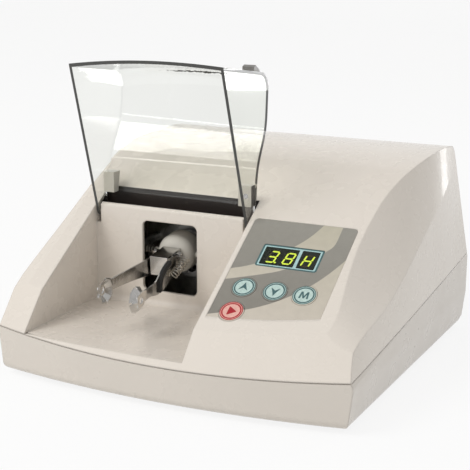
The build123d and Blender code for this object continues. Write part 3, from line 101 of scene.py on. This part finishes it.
class Graph:
    """Short calls that add nodes to one material."""

    def __init__(self, name):
        self.material = bpy.data.materials.new(name)
        self.material.use_nodes = True
        self.tree = self.material.node_tree
        self.tree.nodes.clear()
        self.out = self.add("ShaderNodeOutputMaterial")
        self.place = self.add("ShaderNodeTexCoord").outputs["Object"]

    def add(self, kind, **values):
        node = self.tree.nodes.new(kind)
        for key, value in values.items():
            setattr(node, key, value)
        return node

    def join(self, source, target):
        if hasattr(source, "links"):
            self.tree.links.new(source, target)
        else:
            target.default_value = source

    def math(self, operation, a, b=0.0, clamp=False):
        node = self.add("ShaderNodeMath", operation=operation, use_clamp=clamp)
        self.join(a, node.inputs[0])
        self.join(b, node.inputs[1])
        return node.outputs[0]

    def mix(self, share, a, b):
        node = self.add("ShaderNodeMix", data_type="RGBA")
        self.join(share, node.inputs[0])
        self.join(a, node.inputs[6])
        self.join(b, node.inputs[7])
        return node.outputs[2]

    def blend(self, share, a, b):
        node = self.add("ShaderNodeMixShader")
        self.join(share, node.inputs[0])
        self.join(a, node.inputs[1])
        self.join(b, node.inputs[2])
        return node.outputs[0]

    def noise(self, scale, detail=3.0, stretch=None, rough=0.5):
        node = self.add("ShaderNodeTexNoise")
        node.inputs["Scale"].default_value = scale
        node.inputs["Detail"].default_value = detail
        node.inputs["Roughness"].default_value = rough
        vector = self.place
        if stretch:
            mapping = self.add("ShaderNodeMapping")
            mapping.inputs["Scale"].default_value = stretch
            self.join(self.place, mapping.inputs["Vector"])
            vector = mapping.outputs[0]
        self.join(vector, node.inputs["Vector"])
        return node.outputs[0]

    def remap(self, value, low, high, to_low, to_high):
        node = self.add("ShaderNodeMapRange", clamp=True)
        self.join(value, node.inputs[0])
        for slot, number in zip(range(1, 5), (low, high, to_low, to_high)):
            node.inputs[slot].default_value = number
        return node.outputs[0]

    def along(self, origin, direction):
        """How far a point is along a direction from an origin, in mm."""
        less = self.add("ShaderNodeVectorMath", operation="SUBTRACT")
        self.join(self.place, less.inputs[0])
        less.inputs[1].default_value = origin
        dot = self.add("ShaderNodeVectorMath", operation="DOT_PRODUCT")
        self.join(less.outputs[0], dot.inputs[0])
        dot.inputs[1].default_value = direction
        return self.math("MULTIPLY", dot.outputs["Value"], 1000.0)

    def relief(self, height, strength, distance, edge=0.0):
        bump = self.add("ShaderNodeBump")
        bump.inputs["Strength"].default_value = strength
        bump.inputs["Distance"].default_value = distance
        self.join(height, bump.inputs["Height"])
        if edge:
            rounding = self.add("ShaderNodeBevel", samples=8)
            rounding.inputs["Radius"].default_value = edge
            self.join(rounding.outputs[0], bump.inputs["Normal"])
        return bump.outputs[0]

    def surface(self, colour, roughness, normal, metallic=0.0, coat=0.0, ior=1.46, **extra):
        shader = self.add("ShaderNodeBsdfPrincipled")
        self.join(colour, shader.inputs["Base Color"])
        self.join(roughness, shader.inputs["Roughness"])
        self.join(normal, shader.inputs["Normal"])
        shader.inputs["Metallic"].default_value = metallic
        shader.inputs["IOR"].default_value = ior
        shader.inputs["Coat Weight"].default_value = coat
        shader.inputs["Coat Roughness"].default_value = 0.06
        for key, value in extra.items():
            shader.inputs[key.replace("_", " ")].default_value = value
        return shader.outputs[0]

    def finish(self, shader):
        self.join(shader, self.out.inputs["Surface"])
        return self.material


def moulded(name, rgb, rough=0.35, coat=0.0, vary=0.03, grain=900, bump=0.08, edge=0.0008, patch=14):
    """Moulded plastic or rubber: faint cloudy tone, fine grain, rounded edges."""
    g = Graph(name)
    cloud = g.remap(g.noise(patch, 2), 0.2, 0.8, 0, 1)
    colour = g.mix(cloud, linear(shade(rgb, 1 - vary)), linear(shade(rgb, 1 + vary)))
    fine = g.noise(grain, 2)
    roughness = g.remap(g.noise(60, 3), 0.3, 0.7, rough - 0.05, rough + 0.05)
    return g.finish(g.surface(colour, roughness, g.relief(fine, bump, 0.0002, edge), coat=coat))


def metal(name, rgb, rough=0.25, stretch=(30, 30, 900), vary=0.08, edge=0.0003, bump=0.06, metallic=1.0):
    """Worked metal: drawn or turned scratches along one direction, tarnish in patches."""
    g = Graph(name)
    scratches = g.noise(1.0, 4, stretch, 0.7)
    tarnish = g.remap(g.noise(90, 4), 0.35, 0.7, 0, 1)
    colour = g.mix(tarnish, linear(shade(rgb, 1 + vary)), linear(shade(rgb, 1 - 2 * vary)))
    roughness = g.remap(scratches, 0.3, 0.7, max(rough - 0.08, 0.03), rough + 0.1)
    normal = g.relief(scratches, bump, 0.0001, edge)
    return g.finish(g.surface(colour, roughness, normal, metallic=metallic))


def assign(material, *names):
    for name in names:
        slots = nodes[name].material_slots
        if not len(slots):
            nodes[name].data.materials.append(material)
        for place in slots:
            place.link = "OBJECT"
            place.material = material


# ---------------------------------------------------------------- places read from the frame
press = next(j for j in frame["joints"] if j["child"] == "key_up")
panel_normal = -Vector(press["axis"]).normalized()
panel_across = Vector((1, 0, 0))
panel_slope = panel_normal.cross(panel_across).normalized()


def reach_along(name, direction):
    """The least and greatest reach of a node along a direction."""
    reaches = [v.co.dot(direction) for v in nodes[name].data.vertices]
    return min(reaches), max(reaches)


panel_face = reach_along("panel_overlay", panel_normal)[1]
slope_zero = reach_along("display_window", panel_slope)[0] - 56.0 * MM


def on_panel(x, v, height):
    """A point of the panel: x across and v up the slope in mm, height over a face in metres."""
    return panel_across * (x * MM) + panel_slope * (slope_zero + v * MM) + panel_normal * height


panel_zero = on_panel(0, 0, panel_face)

# ---------------------------------------------------------------- materials of the case
IVORY = (227, 219, 209)
case_plastic = moulded("case_plastic", IVORY, 0.27, 0.35, 0.008, 1400, 0.025, 0.0016)
# The base tray takes the ivory 5 % darker: painted shade on the lower part of the case.
tray_shaded_ivory = moulded("tray_shaded_ivory", shade(IVORY, 0.95), 0.3, 0.3, 0.008, 1400, 0.025, 0.0016)
rubber_black = moulded("rubber_black", (38, 37, 36), 0.75, 0, 0.12, 1600, 0.3, 0.0006)
plastic_black = moulded("plastic_black", (34, 34, 35), 0.42, 0, 0.1, 1500, 0.2, 0.0004)
nylon_white = moulded("nylon_white", (224, 222, 214), 0.45, 0, 0.03, 900, 0.1, 0.0004)
steel_bright = metal("steel_bright", (205, 203, 200), 0.2, (60, 900, 60), 0.06)
steel_wire = metal("steel_wire", (176, 172, 164), 0.28, (400, 400, 400), 0.1)
steel_turned = metal("steel_turned", (172, 172, 170), 0.3, (40, 1200, 40), 0.07)
zinc_sheet = metal("zinc_sheet", (178, 178, 172), 0.38, (900, 60, 60), 0.1)
motor_paint = moulded("motor_paint", (96, 72, 54), 0.5, 0, 0.1, 700, 0.4, 0.0006)
aluminium = metal("aluminium", (190, 192, 194), 0.4, (60, 60, 1200), 0.05)
magnet_plate = metal("magnet_plate", (168, 168, 172), 0.22, (300, 300, 300), 0.05)
head_plastic = moulded("head_plastic", (206, 202, 192), 0.5, 0.1, 0.04, 900, 0.12, 0.001, 60)

assign(case_plastic, "top_shell")
assign(tray_shaded_ivory, "base_tray")
assign(rubber_black, "rubber_feet", "rubber_isolators", "jaw_damper")
assign(plastic_black, "lid_sensor", "display_module", "fuse_holder")
assign(plastic_black, "fuse_cap", "switch_housing", "mains_inlet")
assign(nylon_white, "board_spacers")
assign(steel_bright, "left_arm", "right_arm", "fork_bracket")
assign(steel_wire, "jaw_spring", "restraint_springs")
assign(steel_turned, "case_screws", "hinge_pins", "board_screws")
assign(steel_turned, "jaw_pins", "drive_shaft", "balance_wheel")
assign(steel_turned, "motor_screws", "spring_anchors", "standoffs", "standoff_screws", "journal_bearing")
assign(zinc_sheet, "motor_bracket")
assign(head_plastic, "head_housing")
assign(motor_paint, "drive_motor")
assign(aluminium, "heat_sink")
assign(magnet_plate, "lid_magnet")


def circuit_board():
    """Green solder mask with a faint pattern of tracks under it."""
    g = Graph("circuit_board")
    brick = g.add("ShaderNodeTexBrick")
    brick.inputs["Scale"].default_value = 120
    brick.inputs["Mortar Size"].default_value = 0.03
    brick.inputs["Color1"].default_value = linear((22, 92, 52))
    brick.inputs["Color2"].default_value = linear((26, 104, 58))
    brick.inputs["Mortar"].default_value = linear((48, 132, 76))
    g.join(g.place, brick.inputs["Vector"])
    roughness = g.remap(g.noise(200, 2), 0.3, 0.7, 0.25, 0.4)
    return g.finish(g.surface(brick.outputs[0], roughness, g.relief(brick.outputs[1], 0.2, 0.0001)))


def wound_core():
    """Laminated core: fine stacked sheets, with a varnished brown tone."""
    g = Graph("wound_core")
    wave = g.add("ShaderNodeTexWave", bands_direction="Y")
    wave.inputs["Scale"].default_value = 500
    wave.inputs["Distortion"].default_value = 0.4
    g.join(g.place, wave.inputs["Vector"])
    colour = g.mix(wave.outputs[1], linear((66, 60, 58)), linear((104, 96, 90)))
    roughness = g.remap(g.noise(120, 3), 0.3, 0.7, 0.4, 0.6)
    return g.finish(g.surface(colour, roughness, g.relief(wave.outputs[1], 0.3, 0.0001), metallic=0.6))


assign(circuit_board(), "control_board", "power_board")
assign(wound_core(), "transformer")
assign(moulded("relay_case", (44, 74, 128), 0.35, 0, 0.05, 900, 0.1, 0.0006), "relay")
assign(moulded("capacitor_sleeve", (36, 42, 66), 0.3, 0, 0.08, 900, 0.1, 0.0006), "smoothing_capacitor")
assign(moulded("rocker_plastic", (150, 32, 28), 0.3, 0.2, 0.06, 900, 0.1, 0.0004), "switch_rocker")


# ---------------------------------------------------------------- the clear lid
def clear_sheet():
    """Polished clear acrylic with a faint smoke tint; its shadow is light."""
    g = Graph("clear_sheet")
    glass = g.add("ShaderNodeBsdfPrincipled")
    tint = g.mix(g.remap(g.noise(9, 2), 0.3, 0.7, 0, 1), linear((243, 244, 241)), linear((248, 249, 246)))
    g.join(tint, glass.inputs["Base Color"])
    g.join(g.remap(g.noise(30, 3), 0.4, 0.7, 0.01, 0.05), glass.inputs["Roughness"])
    glass.inputs["IOR"].default_value = 1.46
    glass.inputs["Transmission Weight"].default_value = 1.0
    clear = g.add("ShaderNodeBsdfTransparent")
    clear.inputs["Color"].default_value = linear((232, 232, 230))
    shadow = g.add("ShaderNodeLightPath").outputs["Is Shadow Ray"]
    return g.finish(g.blend(shadow, glass.outputs[0], clear.outputs[0]))


assign(clear_sheet(), "lid")
assign(moulded("grip_plastic", (120, 118, 114), 0.3, 0.2, 0.05, 900, 0.1, 0.0004), "lid_grip")
assign(moulded("hinge_plastic", (196, 192, 180), 0.35, 0.2, 0.05, 900, 0.1, 0.0004), "lid_hinge_blocks")


# ---------------------------------------------------------------- the printed label
def curve_value(g, value, points, low, high):
    """A smooth curve through points, as a value of the position across the label."""
    node = g.add("ShaderNodeFloatCurve")
    curve = node.mapping.curves[0]
    span = points[-1][0] - points[0][0]
    scaled = [((x - points[0][0]) / span, (y - low) / (high - low)) for x, y in points]
    curve.points[0].location = scaled[0]
    curve.points[1].location = scaled[-1]
    for spot in scaled[1:-1]:
        curve.points.new(*spot)
    node.mapping.update()
    share = g.math("DIVIDE", g.math("SUBTRACT", value, points[0][0]), span, clamp=True)
    g.join(share, node.inputs["Value"])
    return g.math("ADD", g.math("MULTIPLY", node.outputs[0], high - low), low)


PRINT_EDGE = 0.12  # half the width over which a printed edge turns, mm
BAND_END = 79.3  # where the upper band stops, mm across the panel
LABEL_REACH = 96  # the length of the label up the slope, mm
LOW_BAND = (
    (15, 11), (24.3, 14.2), (41, 19.7), (52.9, 25.8), (61.3, 31.8),
    (67.7, 37.4), (74.9, 45), (81.5, 54.3), (85.9, 61.9), (92, 74),
)
BAND_TOP = ((15, 50), (33.5, 57.4), (45, 66), (53.9, 75.8), (60.5, 84.5), (67, 98))
BAND_FOOT = (
    (15, 40.5), (32, 46.3), (43.5, 50.6), (52, 54.5), (62, 61.5),
    (70, 68.5), (75.3, 74.7), (78.6, 80), (79.4, 87), (79.6, 98),
)


def label_print():
    """Grey film with two curved beige bands, printed crisp; the keys under it carry the same print."""
    g = Graph("label_print")
    across = g.along((0, 0, 0), panel_across)
    upward = g.along(panel_zero, panel_slope)

    def under(points):
        edge = curve_value(g, across, points, 0, 100)
        return g.remap(g.math("SUBTRACT", edge, upward), -PRINT_EDGE, PRINT_EDGE, 0, 1)

    lower = under(LOW_BAND)
    over_foot = g.math("SUBTRACT", 1.0, under(BAND_FOOT))
    left_of = g.remap(g.math("SUBTRACT", BAND_END, across), -PRINT_EDGE, PRINT_EDGE, 0, 1)
    upper = g.math("MULTIPLY", g.math("MULTIPLY", under(BAND_TOP), over_foot), left_of)
    band = g.math("MAXIMUM", lower, upper)
    fade = g.remap(upward, 0, LABEL_REACH, 0, 1)
    grey = g.mix(fade, linear((134, 130, 122)), linear((150, 147, 139)))
    beige = g.mix(fade, linear((205, 196, 184)), linear((190, 184, 166)))
    mottled = g.remap(g.noise(220, 3), 0.3, 0.7, 0.97, 1.03)
    tone = g.mix(band, grey, beige)
    scale = g.add("ShaderNodeVectorMath", operation="SCALE")
    g.join(tone, scale.inputs[0])
    g.join(mottled, scale.inputs["Scale"])
    roughness = g.remap(g.noise(150, 2), 0.3, 0.7, 0.36, 0.46)
    return g.finish(g.surface(scale.outputs[0], roughness, g.relief(g.noise(2500, 2), 0.12, 0.0001)))


label = label_print()
assign(label, "panel_overlay", "key_up", "key_down", "key_mode", "key_start")
assign(moulded("display_tint", (18, 26, 17), 0.12, 0.4, 0.1, 300, 0.02, 0.0002), "display_window")


def ink(name, rgb, rough=0.42, glow=0.0):
    """Printed ink: a slightly uneven tone with a fine grain; lit ones glow."""
    g = Graph(name)
    uneven = g.remap(g.noise(600, 3), 0.3, 0.7, 0, 1)
    tone = g.mix(uneven, linear(shade(rgb, 0.95)), linear(shade(rgb, 1.05)))
    roughness = g.remap(g.noise(300, 2), 0.3, 0.7, rough - 0.05, rough + 0.05)
    extra = {}
    if glow:
        extra = {"Emission_Color": linear(rgb), "Emission_Strength": glow}
    return g.finish(g.surface(tone, roughness, g.relief(g.noise(2400, 2), 0.1, 0.00005), **extra))


ink_teal = ink("ink_teal", (72, 104, 106))
ink_pale = ink("ink_pale", (190, 212, 206))
ink_red = ink("ink_red", (172, 34, 46))
ink_pink = ink("ink_pink", (230, 178, 166))
ink_frame = ink("ink_frame", (172, 205, 205))
ink_cell = ink("ink_cell", (20, 28, 17), 0.2)
ink_unlit = ink("ink_unlit", (58, 50, 26), 0.3)
ink_lit = ink("ink_lit", (196, 214, 70), 0.4, 0.45)


# ---------------------------------------------------------------- printed pieces
def printed(name, loops, x, v, lift, material, body, thickness=0.03):
    """Flat print on the panel: closed outlines in mm about (x, v), filled by odd and even."""
    curve = bpy.data.curves.new(name, "CURVE")
    curve.dimensions = "2D"
    curve.fill_mode = "BOTH"
    curve.extrude = thickness * MM / 2
    for loop in loops:
        spline = curve.splines.new("POLY")
        spline.points.add(len(loop) - 1)
        for point, (px, py) in zip(spline.points, loop):
            point.co = (px * MM, py * MM, 0, 1)
        spline.use_cyclic_u = True
    flat = bpy.data.objects.new(name + "_outline", curve)
    scene.collection.objects.link(flat)
    bpy.context.view_layer.update()
    mesh = bpy.data.meshes.new_from_object(flat.evaluated_get(bpy.context.evaluated_depsgraph_get()))
    bpy.data.objects.remove(flat)
    piece = bpy.data.objects.new(name, mesh)
    scene.collection.objects.link(piece)
    place = Matrix((panel_across, panel_slope, panel_normal)).transposed().to_4x4()
    piece.matrix_world = Matrix.Translation(on_panel(x, v, lift + thickness * MM / 2)) @ place
    mesh.materials.clear()
    mesh.materials.append(material)
    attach(piece, body)
    return piece


def ring(radius, steps=72):
    angles = [2 * math.pi * k / steps for k in range(steps)]
    return [(radius * math.cos(a), radius * math.sin(a)) for a in angles]


def rounded(left, bottom, right_, top, radius, steps=6):
    """A rectangle with round corners, as one outline."""
    outline = []
    for cx, cy, start in (
        (right_ - radius, top - radius, 0),
        (left + radius, top - radius, 90),
        (left + radius, bottom + radius, 180),
        (right_ - radius, bottom + radius, 270),
    ):
        for k in range(steps + 1):
            angle = math.radians(start + 90 * k / steps)
            outline.append((cx + radius * math.cos(angle), cy + radius * math.sin(angle)))
    return outline


ARROW = [
    (0, 4), (1.1, 1.2), (3.1, -2.6), (0.9, -1.2), (0, -0.5), (-0.9, -1.2), (-3.1, -2.6), (-1.1, 1.2),
]
TRIANGLE = [(-2.2, 3.1), (-1.7, 3.3), (3.1, 0.3), (3.1, -0.3), (-1.7, -3.3), (-2.2, -3.1)]
LETTER_M = [
    (-3.1, -2.7), (-2.5, 2.7), (-1.3, 2.7), (0, -0.7), (1.3, 2.7), (2.5, 2.7), (3.1, -2.7), (1.9, -2.7),
    (1.6, 0.7), (0.4, -2.5), (-0.4, -2.5), (-1.6, 0.7), (-1.9, -2.7),
]
signs = {
    "key_up": (ARROW, ink_teal, ink_pale),
    "key_down": ([(x, -y) for x, y in ARROW], ink_teal, ink_pale),
    "key_mode": (LETTER_M, ink_teal, ink_pale),
    "key_start": (TRIANGLE, ink_red, ink_pink),
}
DISC, OUTER_RING, INNER_RING = 7.35, (7.3, 6.75), (6.35, 5.45)  # radii, mm
INK_LOW, INK_FRAME, INK_HIGH = 0.01 * MM, 0.04 * MM, 0.05 * MM  # lift of a print over its face
for key, (sign, dark, pale) in signs.items():
    low, high = reach_along(key, panel_across)
    foot, head = reach_along(key, panel_slope)
    top = reach_along(key, panel_normal)[1]
    kx, kv = (low + high) / 2 / MM, ((foot + head) / 2 - slope_zero) / MM
    body = nodes[key]["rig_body"]
    printed(key + "_disc", [ring(DISC)], kx, kv, top + INK_LOW, pale, body)
    outer, inner = [ring(r) for r in OUTER_RING], [ring(r) for r in INNER_RING]
    printed(key + "_outer_ring", outer, kx, kv, top + INK_HIGH, dark, body)
    printed(key + "_inner_ring", inner, kx, kv, top + INK_HIGH, dark, body)
    printed(key + "_sign", [sign], kx, kv, top + INK_HIGH, dark, body)

# ---------------------------------------------------------------- display: frame, cells and digits
window_face = reach_along("display_window", panel_normal)[1]
PRINT_BODY = nodes["display_window"]["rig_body"]
CELL_SIDES = ((36.1, 47.1), (47.5, 58.5), (60.9, 72.3))  # the three cells across, mm
CELL_FOOT, CELL_HEAD = 58.3, 73
PAIR_HOLE, SINGLE_HOLE = (35.9, 58.7), (60.7, 72.5)  # the two holes of the frame across, mm
HOLE_FOOT, HOLE_HEAD = 58.1, 73.2
FRAME_EDGE = (34.9, 57.3, 73.6, 74.1, 0.7)  # left, foot, right, head and corner radius, mm
OUTLINE_EDGE = (33.7, 56.3, 74.7, 75.1, 1.6)


def display_print(name, loops, face, lift, material):
    printed(name, loops, 0, 0, face + lift, material, PRINT_BODY)


cells = [rounded(a, CELL_FOOT, b, CELL_HEAD, 0.4) for a, b in CELL_SIDES]
holes = [rounded(a, HOLE_FOOT, b, HOLE_HEAD, 0.5) for a, b in (PAIR_HOLE, SINGLE_HOLE)]
frame_edge = rounded(*FRAME_EDGE)
display_print("display_cells", cells, window_face, INK_LOW, ink_cell)
display_print("display_frame", [frame_edge] + holes, window_face, INK_FRAME, ink_frame)
outline_face = max(window_face, panel_face)
display_print("display_outline", [rounded(*OUTLINE_EDGE), frame_edge], outline_face, INK_HIGH, ink_teal)
DIGIT_HIGH, DIGIT_WIDE, STROKE, SLANT = 10.2, 6.2, 1.1, 0.17
DIGIT_FOOT = 59.9
DIGITS = (("3", 39.0), ("8", 50.0), ("H", 62.4))  # each digit and its left edge across, mm
POINT_PLACE, POINT_RADIUS = (7.0, 0.65), 0.7
ALL_BARS = "abcdefg"
SEGMENTS = {"3": "abcdg", "8": ALL_BARS, "H": "bcefg"}


def segment(letter):
    """One bar of a seven-segment digit with pointed ends, upright, from the digit's lower left corner."""
    w, h, s, gap = DIGIT_WIDE, DIGIT_HIGH, STROKE, 0.12
    half, mid = s / 2, h / 2
    flat = {"a": h - half, "g": mid, "d": half}
    if letter in flat:
        y = flat[letter]
        a, b = half + gap, w - half - gap
        upper = [(a, y), (a + half, y + half), (b - half, y + half)]
        return upper + [(b, y), (b - half, y - half), (a + half, y - half)]
    x = half if letter in "ef" else w - half
    a, b = (half + gap, mid - gap) if letter in "ec" else (mid + gap, h - half - gap)
    after = [(x, a), (x + half, a + half), (x + half, b - half)]
    return after + [(x, b), (x - half, b - half), (x - half, a + half)]


def bars(letters):
    return [[(x + SLANT * y, y) for x, y in segment(letter)] for letter in letters]


for place, (digit, dx) in enumerate(DIGITS):
    lit = bars(b for b in ALL_BARS if b in SEGMENTS[digit])
    unlit = bars(b for b in ALL_BARS if b not in SEGMENTS[digit])
    if place == 0:
        lit.append([(POINT_PLACE[0] + x, POINT_PLACE[1] + y) for x, y in ring(POINT_RADIUS, 20)])
    for state, loops, material in (("lit", lit, ink_lit), ("unlit", unlit, ink_unlit)):
        if loops:
            name = "digit_%s_%d" % (state, place)
            printed(name, loops, dx, DIGIT_FOOT, window_face + INK_HIGH, material, PRINT_BODY)


# ---------------------------------------------------------------- thin skins of painted shade over parts of a solid
def skin(name, node, keep, lift, material):
    """A thin sheet over those faces of a node whose corners all pass a test."""
    source = nodes[node].data
    made = bmesh.new()
    made.from_mesh(source)
    made.normal_update()
    gone = [f for f in made.faces if not all(keep(v.co, f.normal) for v in f.verts)]
    bmesh.ops.delete(made, geom=gone, context="FACES")
    bmesh.ops.remove_doubles(made, verts=made.verts, dist=1e-6)
    made.normal_update()
    for v in made.verts:
        v.co += v.normal * lift
    mesh = bpy.data.meshes.new(name)
    made.to_mesh(mesh)
    made.free()
    mesh.materials.clear()
    mesh.materials.append(material)
    for face in mesh.polygons:
        face.material_index = 0
    piece = bpy.data.objects.new(name, mesh)
    scene.collection.objects.link(piece)
    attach(piece, nodes[node]["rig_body"])
    return piece


lid_low, lid_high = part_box("lid")
LID_WALL = 2 * MM
RIM_TOP = 0.186  # the lid's upper rim, m
SLOT_LEFT, SLOT_RIGHT = -0.0989, 0.016
SLOT_FRONT, SLOT_BACK, SLOT_REAR_WALL = -0.0167, -0.0023, -0.0027
SLOT_FLOOR, SLOT_TOP = 0.0838, 0.1003


def lid_rim(co, normal):
    at_side = min(abs(co.x - lid_low.x), abs(co.x - lid_high.x)) < LID_WALL + 0.1 * MM
    return (abs(normal.x) < 0.3 and normal.y < -0.2 and at_side) or (normal.y < -0.6 and co.z > RIM_TOP)


# The lid's clear rim takes a dark grey skin: painted shade standing for the dark look that refraction gives
# the sheet's edges.
rim_shade_paint = moulded("rim_shade_paint", (66, 66, 64), 0.3, 0.2, 0.06, 900, 0.05, 0.0002)
skin("lid_rim_painted_shade", "lid", lid_rim, 0.04 * MM, rim_shade_paint)

# The walls of the slot behind the lid take a dark brown skin: painted shade of the recess.
slot_shade_paint = moulded("slot_shade_paint", (44, 37, 33), 0.5, 0, 0.1, 1200, 0.2, 0.0003)


def lid_slot_wall(co, normal):
    inside = SLOT_LEFT < co.x < SLOT_RIGHT and SLOT_FRONT < co.y < SLOT_BACK and co.z > SLOT_FLOOR
    at_rear = co.y > SLOT_REAR_WALL
    return inside and (co.z < SLOT_TOP or at_rear) and (at_rear or normal.z > -0.5)


skin("slot_painted_shade", "top_shell", lid_slot_wall, 0.15 * MM, slot_shade_paint)

# ---------------------------------------------------------------- floor and light
WHITE_SHARE = 0.86  # how much of the floor that is seen directly is plain white
FLOOR_HALF, FLOOR_FRONT, BACK_WALL, BEND, BACK_TOP = 4.0, -3.0, 2.6, 0.6, 3.2  # m
AIR_LEVEL = 0.62
g = Graph("studio_white")
path = g.add("ShaderNodeLightPath")
seen = g.math("MAXIMUM", path.outputs["Is Camera Ray"], path.outputs["Is Glossy Ray"])
seen = g.math("MAXIMUM", seen, path.outputs["Is Transmission Ray"])
flat_white = g.add("ShaderNodeEmission")
flat_white.inputs["Color"].default_value = (1, 1, 1, 1)
plain = g.add("ShaderNodeBsdfDiffuse")
plain.inputs["Color"].default_value = (0.86, 0.86, 0.85, 1)
g.finish(g.blend(g.math("MULTIPLY", seen, WHITE_SHARE), plain.outputs[0], flat_white.outputs[0]))

sweep = bmesh.new()
rows = []
for k in range(25):
    angle = math.pi / 2 * k / 24
    rows.append((BACK_WALL + BEND * math.sin(angle), BEND - BEND * math.cos(angle)))
profile = [(FLOOR_FRONT, 0.0)] + rows + [(BACK_WALL + BEND, BACK_TOP)]
for y, z in profile:
    for x in (-FLOOR_HALF, FLOOR_HALF):
        sweep.verts.new((x, y, z))
sweep.verts.ensure_lookup_table()
for k in range(len(profile) - 1):
    a = 2 * k
    sweep.faces.new([sweep.verts[i] for i in (a, a + 1, a + 3, a + 2)])
floor_mesh = bpy.data.meshes.new("studio_floor")
sweep.to_mesh(floor_mesh)
sweep.free()
floor_mesh.materials.append(g.material)
for face in floor_mesh.polygons:
    face.use_smooth = True
studio_floor = bpy.data.objects.new("studio_floor", floor_mesh)
scene.collection.objects.link(studio_floor)

world = bpy.data.worlds.new("studio_air")
scene.world = world
world.use_nodes = True
air = world.node_tree
background = air.nodes["Background"]
background.inputs["Color"].default_value = (1, 1, 1, 1)
background.inputs["Strength"].default_value = AIR_LEVEL


def soft_light(name, place, target, size, size_y, watts, rgb=(1, 1, 1)):
    data = bpy.data.lights.new(name, "AREA")
    data.shape = "RECTANGLE"
    data.size = size
    data.size_y = size_y
    data.energy = watts
    data.color = rgb
    lamp = bpy.data.objects.new(name, data)
    scene.collection.objects.link(lamp)
    aim = Vector(target) - Vector(place)
    lamp.matrix_world = Matrix.Translation(Vector(place)) @ aim.to_track_quat("-Z", "Y").to_matrix().to_4x4()
    return lamp


key_light = soft_light("key_light", (-0.9, -1.0, 1.5), (0, 0, 0.05), 0.9, 0.9, 16, (1, 0.99, 0.97))
key_light.visible_glossy = False
soft_light("lid_band", (-1.08, -1.88, 0.97), (-0.04, 0, 0.13), 1.7, 0.09, 1.8)
soft_light("side_streak", (0.55, 1.15, 0.32), (0.1, 0.02, 0.08), 0.16, 0.9, 1.6)
